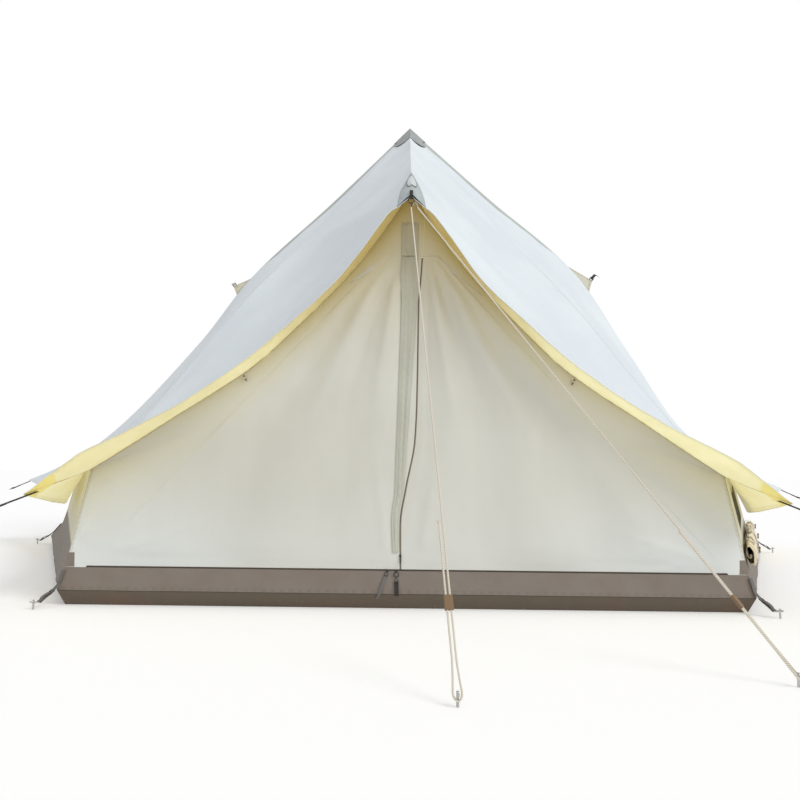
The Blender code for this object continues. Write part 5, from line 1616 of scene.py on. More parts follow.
    def flap(self, name: str, under: bpy.types.Object, low: float, high: float, body: Body) -> None:
        """Make the flap beside the upright zip, rumpled over the cloth under it.

        Args:
            name: Name of the piece.
            under: Cloth that it lies on.
            low: Height of its foot.
            high: Height of its upper end.
            body: What it moves with.
        """
        door = Probe([under])
        rows = []
        count = round((high - low) / 0.01)
        for height in spread(count, low, high):
            share = (height - self.flap_foot) / 1.2
            right = min(zip_x(height), self.slider_x(min(height, 1.35))) - 0.006
            width = blend(0.028, 0.075, min(share, 1.0))
            row = []
            for s in spread(18):
                x = blend(right - width, right, s)
                base = min(door.front(x, height + dz, DOOR_Y) for dz in (-0.02, 0.0, 0.02))
                crinkle = noise.noise(Vector((s * 3.0, height * 26.0, 2.0))) * 0.5 + 0.5
                pleat = 0.5 + 0.5 * math.sin(math.tau * 2 * s + height * 5)
                edge = math.sin(math.pi * min(max(s, 0.02), 0.98)) ** 0.5
                row.append(Vector((x, base - 0.0026 - edge * (0.0030 * crinkle + 0.0032 * pleat),
                                   height)))
            rows.append(row)
        points = as_points(rows)
        patch = Patch(points, (FREE, SEWN, FREE, FREE), ripple=0.0)
        # Painted shade towards the peak, a little less than on the wall under it.
        patch.marks = {"apex": self.apex(points) * 0.8}
        cloth = Cloth(name, [patch], FRONT, FLAP_CANVAS, WALL_UNDER, THIN_CLOTH)
        node = "storm_flap" if body is Body.DOOR_LEFT else "front_wall_left"
        cloth.hang(node, "hung", [under.name], "wall", body)

    def slider_x(self, height: float) -> float:
        """Straight path of the upright zip's slider."""
        low, high = self.slider_low, self.slider_high
        return blend(zip_x(low), zip_x(high), (height - low) / (high - low)) - 0.0005

    def zips(self) -> None:
        """Make the coil and tape of the upright zip and of the bottom zips."""
        rows = []
        for height in spread(140, MUD_WALL_TOP + 0.009, self.leaf_top - 0.006):
            rows.append([Vector((zip_x(height) + dx, DOOR_Y + 0.0004 - 0.0012 * (abs(dx) < 0.003),
                                 height))
                         for dx in (-0.0055, -0.0035, -0.002, 0.0, 0.002, 0.0035, 0.0039)])
        self.tape("zip_upright", rows, Body.DOOR_LEFT, ZIP)
        rows = []
        for x in spread(160, -1.385, 1.385):
            rows.append([Vector((x, DOOR_Y - 0.0002 - 0.0010 * (abs(dz) < 0.0016),
                                 MUD_WALL_TOP + 0.0034 + dz))
                         for dz in (-0.0033, -0.002, -0.001, 0.0, 0.001, 0.002, 0.0029)])
        self.tape("zip_bottom", rows, Body.TENT, SILL_ZIP)

    def tape(self, name: str, rows: list[list[Vector]], body: Body, finish: ZipCoil) -> None:
        """Make one zip from rows of points across it."""
        piece = plain(name, rows, "ffff", FRONT, finish, THIN_CLOTH).build()
        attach(piece, body.value)
        LOG.info("%s: zip with %d rows", name, len(rows))

    def corner_patches(self) -> None:
        """Make the brown patches over the sill at the wall's corners."""
        for side in Side:
            corner = HIPS[f"front_{side.word}"]
            at = side_of(corner, FRONT)
            rows = []
            for share in spread(10):
                edge = corner.wall_point(blend(MUD_WALL_TOP + 0.003, 0.222, share), at)
                inner = edge - Vector((side.value * blend(0.040, 0.026, share), 0, 0))
                rows.append([blend(inner, edge, s) + Vector((0, -0.0026, 0)) for s in spread(8)])
            cloth = plain(f"corner_patch_{side.word}", rows, "jffj", FRONT, MUD, THIN_CLOTH)
            cloth.hang("mud_wall_front", "stretched", [f"cloth_front_wall_{side.word}"], "mud")

    def build(self) -> None:
        """Make the whole front wall."""
        fixed = [self.fixed(side) for side in Side]
        self.corner_patches()
        leaf = self.leaf(Side.LEFT)
        self.leaf(Side.RIGHT)
        self.flap("cloth_storm_flap", leaf, self.flap_foot, self.leaf_top - 0.004, Body.DOOR_LEFT)
        self.flap("storm_flap_top", fixed[0], self.leaf_top + 0.001, self.flap_top, Body.TENT)
        self.zips()


@dataclass
class PeakAndBoot:
    """The cap on the peak, and the boot with its oval patch over the front pole."""

    roof: Probe
    cap_radii: tuple[float, ...] = (0.42, 0.21, 0.122, 0.14, 0.14, 0.122, 0.21)
    cap_lift: float = 0.0068
    cap_droop: float = 0.004
    boot_half: float = 0.064
    boot_back: float = 1.97
    boot_bulge: float = 0.080
    boot_front: float = 2.233
    boot_lip: float = 0.040
    boot_turn: float = 0.62

    def cap(self) -> None:
        """Make the cap, a small pyramid that hangs in scallops between the roof's seams."""
        seams = [CENTRE_RIDGE, *(HIPS[name] for name in ORDER[1:] + ORDER[:1])]
        rows = []
        count = 8
        for share in spread(24, 0.0, 1.0):
            row = []
            for i, seam in enumerate(seams):
                after = seams[(i + 1) % len(seams)]
                sizes = self.cap_radii[i], self.cap_radii[(i + 1) % len(seams)]
                for k in range(count):
                    s = k / count
                    hollow = -0.16 if min(sizes) < 0.2 else 0.20
                    scallop = 1 + hollow * math.sin(math.pi * s)
                    one, two = (max(size * share * scallop, 0.0006) for size in sizes)
                    place = blend(seam.point(one), after.point(two), s)
                    over = self.roof.over(place.x, place.y)
                    crumple = 0.0016 * noise.noise(place * 30.0) * share
                    droop = self.cap_droop * share ** 3
                    rest = max(over, place.z) if over > 0 else place.z
                    row.append(Vector((place.x, place.y, rest + self.cap_lift + crumple - droop)))
            row.append(row[0].copy())
            rows.append(row)
        cloth = plain("cloth_peak_cap", rows, "jfjj", UP, CAP, 0.0026, (0.42, 0.48))
        cloth.hang("peak_cap", "draped", ["cloth_roof_rear"], "cap")

    def boot_point(self, x: float, share: float) -> Vector:
        """Place on the boot's outer side, from its back (0) over the pole to its hem (1)."""
        run = share / self.boot_turn
        turn = max(0.0, (share - self.boot_turn) / (1 - self.boot_turn)) * math.pi / 2
        lip = self.boot_lip * math.sin(turn)
        rise = float(smooth(np.array(run))) if run < 1 else math.cos(turn)
        dome = max(0.0, 1 - (x / self.boot_half) ** 2)
        y = -blend(self.boot_back, self.boot_front, min(run, 1.0)) - lip
        reach = y + lip * (1 - dome ** 0.5) * 0.6
        rest = self.roof.over(x, max(reach, -AWNING_REACH + 0.006))
        if rest < 1.0:
            rest = interpolate(AWNING_HEIGHTS, abs(x))
        puff = 0.0034 * noise.noise(Vector((x * 46, y * 30, 3.0)))
        puff += 0.0016 * noise.noise(Vector((x * 120, share * 9, 7)))
        return Vector((x, reach, rest + 0.0034 + (self.boot_bulge * rise + puff) * dome ** 0.6))

    def boot(self) -> None:
        """Make the boot, stretched over the pole's end, and its patch."""
        half = self.boot_half
        rows = []
        for share in spread(64):
            narrow = 0.35 + 0.65 * min(1.0, share / 0.35) ** 0.6
            rows.append([self.boot_point(x * narrow, share) for x in spread(40, -half, half)])
        toward = Vector((0, -0.5, 1))
        cloth = plain("cloth_tip_boot", rows, "jjjj", toward, BOOT, 0.0016)
        cloth.hang("tip_boot", "stretched", ["cloth_roof_front_left"], "cap")
        rows = []
        for ring in spread(8, 0.001, 1.0):
            row = []
            for turn in spread(36, 0.0, math.tau):
                x = 0.024 * ring * math.cos(turn)
                share = 0.76 + 0.115 * ring * math.sin(turn)
                row.append(self.boot_point(x, share) + Vector((0, -0.0016, 0.0012)))
            rows.append(row)
        oval = plain("boot_patch", rows, "jfjj", toward, PATCH_GREY, 0.0010)
        width, filled = 0.046, 0.75
        oval.flat = width, oval.patches[0].area() / width / filled
        oval.hang("tip_boot", "stretched", ["cloth_tip_boot"], "cap")

    def build(self) -> None:
        """Make the cap and the boot."""
        self.cap()
        self.boot()


def smooth_route(route: Sequence[Vector], spacing: float) -> list[Vector]:
    """Points along a Catmull-Rom curve through a route, about one spacing apart."""
    points = [Vector(point) for point in route]
    ends = [points[0] * 2 - points[1], *points, points[-1] * 2 - points[-2]]
    made = [points[0]]
    for i in range(1, len(ends) - 2):
        a, b, c, d = ends[i - 1:i + 3]
        steps = max(1, round((c - b).length / spacing))
        for step in range(1, steps + 1):
            t = step / steps
            made.append((b * 2 + (c - a) * t + (a * 2 - b * 5 + c * 4 - d) * t ** 2
                         + (b * 3 - a - c * 3 + d) * t ** 3) * 0.5)
    return made


@dataclass
class Guy:
    """A taut cord from a fitting to a peg, round it and back beside itself."""

    name: str
    start: Vector
    peg: Vector
    radius: float
    spacing: float
    tail: float
    hairpin: float
    finish: RopeFibre
    joins: tuple[float, float] = (0.10, 0.16)

    def __post_init__(self) -> None:
        """Settle the cord's own directions."""
        level = Vector((self.start.x - self.peg.x, self.start.y - self.peg.y, 0))
        self.side = UP.cross(level.normalized())
        back = self.start + self.side * (self.spacing / 2) - self.peg
        self.back = back.normalized()
        self.length = back.length

    def strand(self, distance: float, sign: int, wide: float | None = None) -> Vector:
        """Point at a distance from the peg, on the first (-1) or the returning (1) strand."""
        out = self.spacing / 2 if wide is None else wide
        return self.peg + self.back * distance + self.side * (sign * out)

    def points(self) -> list[Vector]:
        """Points of the cord, close together round the peg.

        Returns:
            The route from the fitting round the peg to the free end.
        """
        contact = (PEG_WIRE + self.radius + 0.0009) / math.hypot(self.back.x, self.back.y)
        wide = self.hairpin
        near = blend(self.spacing / 2, wide, 0.3)
        limb = ((5 * wide, near), (2 * wide, wide * 0.9), (0, wide))
        bend = [self.strand(distance, -1, out) for distance, out in limb]
        bend.append(self.strand(-contact, 0, 0.0))
        bend += [self.strand(distance, 1, out) for distance, out in reversed(limb)]
        head = [self.strand(self.length * share, -1) for share in (1.0, 0.7, 0.4)]
        close, far = self.joins
        head += [self.strand(distance, -1) for distance in (far, close)]
        if self.tail < far:
            route = head + bend + [self.strand(self.tail, 1)]
            return route[:3] + smooth_route(route[3:], self.radius * 4)
        tail = [self.strand(distance, 1) for distance in (close, far, self.tail * 0.7, self.tail)]
        route = head + bend + tail
        return route[:3] + smooth_route(route[3:-2], self.radius * 4) + route[-2:]

    def knot(self) -> bpy.types.Object:
        """Overhand knot that stops the free end."""
        end = self.strand(self.tail, 1)
        path = []
        for turn in spread(44, 0.15, math.tau - 0.15):
            x = math.sin(turn) + 2 * math.sin(2 * turn)
            y = math.cos(turn) - 2 * math.cos(2 * turn)
            path.append((x, y, -1.1 * math.sin(3 * turn)))
        size = self.radius * 0.95
        up = self.side.cross(self.back)
        middle = end + self.back * (self.radius * 1.3)
        placed = [middle + self.side * (x * size) * 0.62 + self.back * (y * size) * 0.62
                  + up * (z * size) * 0.7
                  for x, y, z in path]
        return tube_piece(self.name + "_knot", placed, self.radius * 0.92, 10, self.finish)

    def build(self) -> None:
        points = self.points()
        curve = bpy.data.curves.new("cord_" + self.name, "CURVE")
        curve.dimensions = "3D"
        curve.bevel_depth = self.radius
        curve.bevel_resolution = 3
        curve.use_fill_caps = True
        spline = curve.splines.new("POLY")
        spline.points.add(len(points) - 1)
        for vertex, point in zip(spline.points, points):
            vertex.co = (*point, 1.0)
        curve.materials.append(WARDROBE.get(self.finish))
        piece = add("cord_" + self.name, curve)
        length = sum((b - a).length for a, b in zip(points, points[1:]))
        knot = self.knot()
        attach(knot, Body.TENT.value)
        tuple(self.start)
        self.radius * 2
        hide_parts(self.name)
        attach(piece, Body.TENT.value)
        LOG.info("%s: cord of %.3f m", self.name, length)


def tube_piece(name: str, path: Sequence[Vector], radius: float, sides: int,
               finish: Any) -> bpy.types.Object:
    """Round bar along a path, with closed ends.

    Args:
        name: Name of the piece.
        path: Points of its middle line.
        radius: Its radius.
        sides: Number of sides of its section.
        finish: Its finish.

    Returns:
        The piece.
    """
    shape = bmesh.new()
    rings = []
    reference = None
    for i, point in enumerate(path):
        ahead = (path[min(i + 1, len(path) - 1)] - path[max(i - 1, 0)]).normalized()
        if reference is None:
            reference = ahead.orthogonal().normalized()
        reference = (reference - ahead * ahead.dot(reference)).normalized()
        other = ahead.cross(reference)
        rings.append([shape.verts.new(point + (reference * math.cos(math.tau * k / sides)
                                               + other * math.sin(math.tau * k / sides)) * radius)
                      for k in range(sides)])
    for low, high in zip(rings, rings[1:]):
        for k in range(sides):
            shape.faces.new([low[k], low[(k + 1) % sides], high[(k + 1) % sides], high[k]])
    shape.faces.new(list(reversed(rings[0])))
    shape.faces.new(rings[-1])
    bmesh.ops.recalc_face_normals(shape, faces=shape.faces)
    mesh = bpy.data.meshes.new(name)
    shape.to_mesh(mesh)
    shape.free()
    mesh.shade_smooth()
    mesh.set_sharp_from_angle(angle=math.radians(50))
    mesh.materials.append(WARDROBE.get(finish))
    return add(name, mesh)


@dataclass(frozen=True)
class EaveLine:
    """Where a strap runs from under an eave's corner to its ring."""

    start: Place
    direction: Place
    length: float = 0.19
    ring: float = 0.013
    wire: float = 0.0025

    def at(self, distance: float) -> Vector:
        """Place along the strap's middle line."""
        return Vector(self.start) + Vector(self.direction) * distance

    def ring_middle(self) -> Vector:
        """Middle of the ring at the strap's end."""
        return self.at(self.length + self.ring - 0.0005)

    def cord_start(self) -> Vector:
        """Where a thin cord leaves the ring."""
        return self.ring_middle() + Vector(self.direction) * (self.ring + self.wire + 0.00075)


EAVE_LINES = {
    "front_left": EaveLine((-1.56778, -2.24715, 0.48984), (-0.53963, -0.77347, -0.33247)),
    "front_right": EaveLine((1.56778, -2.24715, 0.48854), (0.53963, -0.77347, -0.33247)),
    "right": EaveLine((2.74, 0.0, 0.47884), (0.92039, 0.0, -0.391)),
    "rear_right": EaveLine((1.56778, 2.24715, 0.4882), (0.53935, 0.77307, -0.33385)),
    "rear_left": EaveLine((-1.56778, 2.24715, 0.48879), (-0.53935, 0.77307, -0.33385)),
    "left": EaveLine((-2.74, 0.0, 0.47891), (-0.92066, 0.0, -0.39035)),
}


@dataclass
class Ropes:
    """The two long guy ropes of the awning and the two thin cords of its corners."""

    pegs: tuple[tuple[float, float], tuple[float, float]] = ((0.127, -3.35), (1.127, -3.15))
    peg_height: float = 0.028
    start: Place = (-0.001, -2.298, 1.728)
    starts_apart: float = 0.028
    eave_peg_radius: float = 3.26

    def build(self) -> None:
        """Make all four cords."""
        for index, side in enumerate(Side):
            start = Vector(self.start) + Vector((self.starts_apart * index, 0, 0))
            peg = Vector((*self.pegs[index], self.peg_height))
            Guy(f"rope_{side.word}", start, peg, 0.003, 0.012, 0.50, 0.012, ROPE).build()
        for side in Side:
            name = f"front_{side.word}"
            seam = HIPS[name]
            start = EAVE_LINES[name].cord_start()
            place = seam.along * self.eave_peg_radius
            peg = Vector((place.x, place.y, self.peg_height))
            Guy(f"eave_guy_{side.word}", start, peg, 0.0015, 0.005, 0.09, 0.0065, THIN_ROPE).build()


def axes(origin: Vector, along: Vector, out: Vector) -> Matrix:
    """Frame with Z along one way and Y as near as can be to another."""
    z = along.normalized()
    y = (out - z * out.dot(z)).normalized()
    turn = Matrix((y.cross(z), y, z)).transposed()
    return Matrix.Translation(origin) @ turn.to_4x4()


class Hardware:
    """Metal and plastic parts, each modelled once at the origin and copied to its places."""

    def __init__(self) -> None:
        """Model every part."""
        self.models: dict[str, bpy.types.Object] = {}
        bpy.context.tool_settings.mesh_select_mode = (True, False, False)
        self.ring()
        self.link()
        self.buckle()
        self.peg()
        self.toggle()
        self.slider()
        self.pull()

    def edit(self, name: str) -> None:
        """Name the newest object and open it with everything selected."""
        piece = bpy.context.object
        piece.name = "model_" + name
        self.models[name] = piece
        bpy.ops.object.mode_set(mode="EDIT")
        bpy.ops.mesh.select_all(action="SELECT")

    def pick(self, test: Callable[[Vector], bool], faces: bool = False) -> None:
        """Select the points, or the faces by their middles, that pass a test."""
        bpy.ops.mesh.select_all(action="DESELECT")
        bpy.ops.object.mode_set(mode="OBJECT")
        mesh = bpy.context.object.data
        if faces:
            for face in mesh.polygons:
                face.select = test(face.center)
        else:
            for vertex in mesh.vertices:
                vertex.select = test(vertex.co)
        bpy.context.tool_settings.mesh_select_mode = (not faces, False, faces)
        bpy.ops.object.mode_set(mode="EDIT")

    def close(self, bevel: float = 0.0, angle: float = 40.0) -> None:
        """Leave edit mode, round the edges and shade the part."""
        bpy.ops.mesh.select_all(action="SELECT")
        bpy.ops.mesh.normals_make_consistent(inside=False)
        bpy.ops.object.mode_set(mode="OBJECT")
        bpy.context.tool_settings.mesh_select_mode = (True, False, False)
        piece = bpy.context.object
        if bevel:
            edge = piece.modifiers.new("edge", "BEVEL")
            edge.width = bevel
            edge.segments = 3
            edge.limit_method = "ANGLE"
            apply_modifiers(piece)
            piece.select_set(True)
        bpy.ops.object.shade_smooth_by_angle(angle=math.radians(angle))
        piece.select_set(False)

    def extrude(self, x: float, y: float, z: float) -> None:
        """Extrude the selected faces."""
        bpy.ops.mesh.extrude_region_move(TRANSFORM_OT_translate={"value": (x, y, z)})

    def resize(self, x: float, y: float, z: float) -> None:
        """Resize what is selected."""
        bpy.ops.transform.resize(value=(x, y, z))

    def settle(self) -> None:
        """Apply the newest object's place, turn and size."""
        bpy.ops.object.transform_apply(location=True, rotation=True, scale=True)

    def grow(self, rise: float, scale: float = 1.0) -> None:
        """Extrude the selected face up Z and resize its end."""
        self.extrude(0, 0, rise)
        self.resize(scale, scale, 1.0)

    def cut(self, place: Place, normal: Place) -> None:
        """Cut every face along a plane."""
        bpy.ops.mesh.select_all(action="SELECT")
        bpy.ops.mesh.bisect(plane_co=place, plane_no=normal)

    def plate(self, name: str, wide: float, tall: float, across: Sequence[float],
              up: Sequence[float]) -> None:
        """Add a flat face in X and Z, cut along lines, and open it for edits."""
        bpy.ops.mesh.primitive_plane_add(size=1.0, rotation=(math.pi / 2, 0, 0))
        self.settle()
        self.edit(name)
        self.resize(wide, 1.0, tall)
        for x in across:
            self.cut((x, 0, 0), (1, 0, 0))
        for z in up:
            self.cut((0, 0, z), (0, 0, 1))

    def ring(self) -> None:
        """Wire ring about Z, with its weld on the far side."""
        bpy.ops.mesh.primitive_torus_add(major_segments=40, minor_segments=12, major_radius=0.013,
                                         minor_radius=0.0025)
        self.edit("ring")
        self.pick(lambda co: co.x > 0.008 and abs(co.y) < 0.0025)
        self.resize(1.02, 1.0, 1.25)
        self.close()

    def link(self) -> None:
        """Oval link with its long way up Z, a sleeve on one limb."""
        bpy.ops.mesh.primitive_torus_add(major_segments=40, minor_segments=10, major_radius=0.0175,
                                         minor_radius=0.0019, rotation=(math.pi / 2, 0, 0))
        self.settle()
        self.edit("link")
        self.pick(lambda co: co.x > 0)
        bpy.ops.transform.translate(value=(-0.0085, 0, 0))
        self.pick(lambda co: co.x < -0.0085)
        bpy.ops.transform.translate(value=(0.0085, 0, 0))
        self.pick(lambda co: co.x > 0.004 and abs(co.z) < 0.0055)
        self.resize(1.15, 1.5, 1.0)
        self.close()

    def buckle(self) -> None:
        """Ladder buckle: a frame and a middle bar."""
        self.plate("buckle", 0.030, 0.024, (-0.0105, 0.0105), (-0.0085, -0.0022, 0.0022, 0.0085))
        self.pick(lambda at: abs(at.x) < 0.01 and 0.0022 < abs(at.z) < 0.0085, True)
        bpy.ops.mesh.delete(type="FACE")
        bpy.ops.mesh.select_all(action="SELECT")
        self.extrude(0, 0.0036, 0)
        self.close(0.0007)

    def peg(self) -> None:
        """Head of a peg with its hook bent over towards +Y."""
        bpy.ops.mesh.primitive_circle_add(vertices=14, radius=PEG_WIRE, fill_type="NGON")
        self.edit("peg")
        self.grow(0.020)
        self.grow(0.020)
        bpy.ops.mesh.spin(steps=9, angle=math.radians(-140), center=(0, 0.008, 0.040),
                          axis=(1, 0, 0))
        self.resize(0.8, 0.8, 0.8)
        self.close(0.0005)

    def toggle(self) -> None:
        """Barrel toggle along Z with a waist for its cord."""
        bpy.ops.mesh.primitive_circle_add(vertices=16, radius=0.0026, fill_type="NGON",
                                          location=(0, 0, -0.015))
        self.settle()
        self.edit("toggle")
        for rise, scale in ((0.0045, 1.55), (0.007, 1.0), (0.002, 0.62), (0.003, 1.0),
                            (0.002, 1.61), (0.007, 1.0), (0.0045, 0.65)):
            self.grow(rise, scale)
        self.close(0.0003, 50.0)

    def slider(self) -> None:
        """Zip slider with a bridge for its pull."""
        bpy.ops.mesh.primitive_cube_add(size=1.0, scale=(0.0096, 0.0034, 0.0125))
        self.settle()
        self.edit("slider")
        self.cut((0, 0, 0.001), (0, 0, 1))
        self.cut((0, 0, -0.004), (0, 0, 1))
        self.pick(lambda co: co.z < -0.005)
        self.resize(0.66, 1.0, 1.0)
        self.pick(lambda at: at.y < -0.0016 and at.z > -0.003, True)
        bpy.ops.mesh.inset(thickness=0.0016, depth=0.0)
        self.extrude(0, -0.0012, 0)
        self.resize(0.6, 1.0, 0.8)
        self.close(0.0006)

    def pull(self) -> None:
        """Flat zip pull with an eye at its upper end."""
        self.plate("pull", 0.0070, 0.030, (-0.0018, 0.0018), (0.0085, 0.0125, -0.006))
        self.pick(lambda at: abs(at.x) < 0.0015 and 0.0085 < at.z < 0.0125, True)
        bpy.ops.mesh.delete(type="FACE")
        self.pick(lambda co: co.z < -0.014)
        self.resize(0.7, 1.0, 1.0)
        bpy.ops.mesh.select_all(action="SELECT")
        self.extrude(0, 0.0016, 0)
        self.close(0.0004)

    def place(self, model: str, name: str, frame: Matrix, finish: Any, slot: str,
              body: Body = Body.TENT,
              node: str | None = None, scale: Place = (1.0, 1.0, 1.0)) -> bpy.types.Object:
        """Copy a model, with its own mesh, into a place.

        Args:
            model: Which model.
            name: Name of the copy.
            frame: Where it goes, its Z along the part.
            finish: Its finish.
            slot: Not used.
            body: What it moves with.
            node: CAD node that it stands for.
            scale: Size along its own axes.

        Returns:
            The copy.
        """
        mesh = self.models[model].data.copy()
        mesh.transform(frame @ Matrix.Diagonal((*scale, 1.0)))
        mesh.name = name
        mesh.materials.clear()
        mesh.materials.append(WARDROBE.get(finish))
        piece = add(name, mesh)
        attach(piece, body.value)
        if node:
            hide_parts(node)
        LOG.info("%s: %s", name, model)
        return piece

    def clear(self) -> None:
        """Remove the models themselves."""
        for piece in self.models.values():
            mesh = piece.data
            bpy.data.objects.remove(piece)
            bpy.data.meshes.remove(mesh)


STRAP_SPACING = 0.003
STRAP_LINES = (-1.0, -0.94, -0.5, 0.0, 0.5, 0.94, 1.0)


@dataclass
class Strap:
    """A length of webbing along a path, on its outer side."""

    name: str
    path: list[Vector]
    across: Vector
    out: Vector
    finish: Webbing
    node: str
    width: float = 0.025
    thickness: float = 0.0018
    body: Body = Body.TENT
    held: str = "stretched"

    def build(self) -> bpy.types.Object:
        half = self.width / 2
        rows = [[point + self.across * (s * half) for s in STRAP_LINES]
                for point in smooth_route(self.path, STRAP_SPACING)]
        cloth = plain(self.name, rows, "ffff", self.out, self.finish, self.thickness)
        return cloth.hang(self.node, self.held, [], "webbing", self.body)


@dataclass(frozen=True)
class BottomPull:
    """A slider of the bottom zips, with the rings and the tab that hang from it."""

    side: Side
    body: Body
    x: float
    lean: Place
    rings: Pairs
    length: float
    width: float
    finish: Webbing


BOTTOM_PULLS = (BottomPull(Side.LEFT, Body.SLIDER_LEFT, -0.085, (-0.36, 0, -1), ((0.0145, 0.62),),
                           0.105, 0.013, STRAP_GREY),
                BottomPull(Side.RIGHT, Body.SLIDER_RIGHT, -0.047, (0.03, 0, -1),
                           ((0.0155, 0.80), (0.0385, 0.55)), 0.060, 0.018, STRAP_BLACK))


@dataclass
class Fittings:
    """Straps, loops, rings, pegs, tabs and zip sliders of the whole tent."""

    hardware: Hardware
    wall: Probe
    fold_radius: float = 0.0047
    upright_out: float = 0.0028
    bottom_out: float = 0.0040
    bottom_height: float = 0.1615
    ring_out: float = 0.0085
    tab_out: float = 0.0050
    tip_ring: Place = (-0.001, -2.2728, 1.768)
    link_rise: float = 0.0055
    link_overlap: float = 0.0045
    link_length: float = 0.0385
    loop_top: float = 0.088
    loop_reach: float = 0.085
    loop_foot: float = 0.028
    tab_hollow: float = 0.010
    tab_fall: float = 0.050 / 0.085
    tab_flat: tuple[float, float] = (0.165, 0.075)
    tab_tails: ClassVar[dict[Side, tuple[float, Webbing]]] = {
        Side.LEFT: (0.030, STRAP_CREAM), Side.RIGHT: (0.085, STRAP_BLACK),
    }
    tab_spots: ClassVar[dict[Side, tuple[Pairs, Pairs]]] = {
        Side.LEFT: (((-1.2, 2.010), (-1.2225, 1.986), (-1.3, 1.8796)),
                    ((-1.3029, 1.9616), (-1.3255, 1.9417))),
        Side.RIGHT: (((1.2, 2.1535), (1.2225, 2.1324), (1.3, 2.0331)),
                     ((1.3002, 2.1144), (1.3225, 2.0966))),
    }

    def fold(self, at: Callable[[float, float], Vector], distance: float) -> list[Vector]:
        """Path of a webbing round its ring, from its outer to its inner side."""
        turns = spread(6, 0.4, math.pi - 0.4)
        size = self.fold_radius
        return [at(distance + size * math.sin(a), size * math.cos(a)) for a in turns]

    def eaves(self) -> None:
        """Make the straps under the eave corners, each folded round its ring."""
        for name, line in EAVE_LINES.items():
            along, across = Vector(line.direction), HIPS[name].across
            out = facing(across.cross(along), UP)
            node = "eave_strap_" + name
            wire = line.length - 0.0005

            def at(distance: float, lift: float) -> Vector:
                """Place on the strap's path."""
                return line.at(distance) + out * lift

            fold = self.fold(at, wire)
            path = [at(0.0, 0.0009), at(0.06, 0.0009), at(0.12, 0.0009), at(wire - 0.022, 0.0012),
                    at(wire - 0.008, 0.0032), *fold, at(wire - 0.008, -0.0038),
                    at(wire - 0.022, -0.0026), at(wire - 0.050, -0.0026)]
            Strap(f"strap_{name}", path, across, out, STRAP_BLACK, node).build()
            self.hardware.place("ring", f"strap_ring_{name}", axes(line.ring_middle(), out, along),
                                STEEL, "webbing", node=node)

    def corners(self) -> None:
        """Make the loops at the foot's corners, with their buckles, rings and pegs."""
        for name, seam in HIPS.items():
            node = "corner_peg_" + name
            top = seam.wall_point(self.loop_top) + seam.along * 0.0015
            foot = seam.along * (seam.floor_radius + self.loop_reach) + UP * self.loop_foot
            along = (foot - top).normalized()
            out = facing(seam.across.cross(along), UP)
            length = (foot - top).length

            def at(distance: float, lift: float) -> Vector:
                """Place on the loop's path."""
                sag = 0.003 * math.sin(math.pi * min(distance / length, 1))
                return top + along * distance + out * (lift - sag)

            sewn = [seam.wall_point(height) + seam.along * 0.0042
                    for height in (0.150, 0.122, 0.100)]
            fold = self.fold(at, length)
            path = [*sewn, at(0.006, 0.0024), at(length * 0.5, 0.0012), at(length - 0.018, 0.0014),
                    at(length - 0.007, 0.0034), *fold, at(length - 0.007, -0.0036),
                    at(length - 0.020, -0.0026), at(length * 0.42, -0.0026)]
            Strap(f"loop_{name}", path, seam.across, out, STRAP_GREY, node, 0.022).build()
            tail = [at(length * 0.46, 0.0040), at(length * 0.60, 0.0075), at(length * 0.78, 0.0085),
                    at(length * 0.95, 0.0025)]
            Strap(f"loop_tail_{name}", [point + out * 0.001 for point in tail], seam.across, out,
                  STRAP_GREY, node, 0.020, 0.0014, held="hung").build()
            self.hardware.place("buckle", f"loop_buckle_{name}",
                                axes(at(length * 0.42, -0.0010), along, out), BLACK_METAL,
                                "webbing", node=node)
            centre = foot + seam.along * 0.0125
            self.hardware.place("ring", f"loop_ring_{name}", axes(centre, UP, seam.along), STEEL,
                                "steel", node=node)
            self.hardware.place("peg", f"corner_hook_{name}",
                                axes(seam.along * (centre.xy.length + 0.012), UP, seam.along),
                                STEEL, "steel", node=node)

    def pegs(self) -> None:
        """Make the heads of the ropes' pegs."""
        ropes = Ropes()
        for index, side in enumerate(Side):
            place = Vector((*ropes.pegs[index], 0.0))
            away = place - Vector((0, ropes.start[1], 0))
            self.hardware.place("peg", f"rope_hook_{side.word}", axes(place, UP, away), STEEL,
                                "steel", node=f"rope_peg_{side.word}")
            seam = HIPS[f"front_{side.word}"]
            self.hardware.place("peg", f"guy_hook_{side.word}",
                                axes(seam.along * ropes.eave_peg_radius, UP, seam.along), STEEL,
                                "steel", node=f"guy_peg_{side.word}")

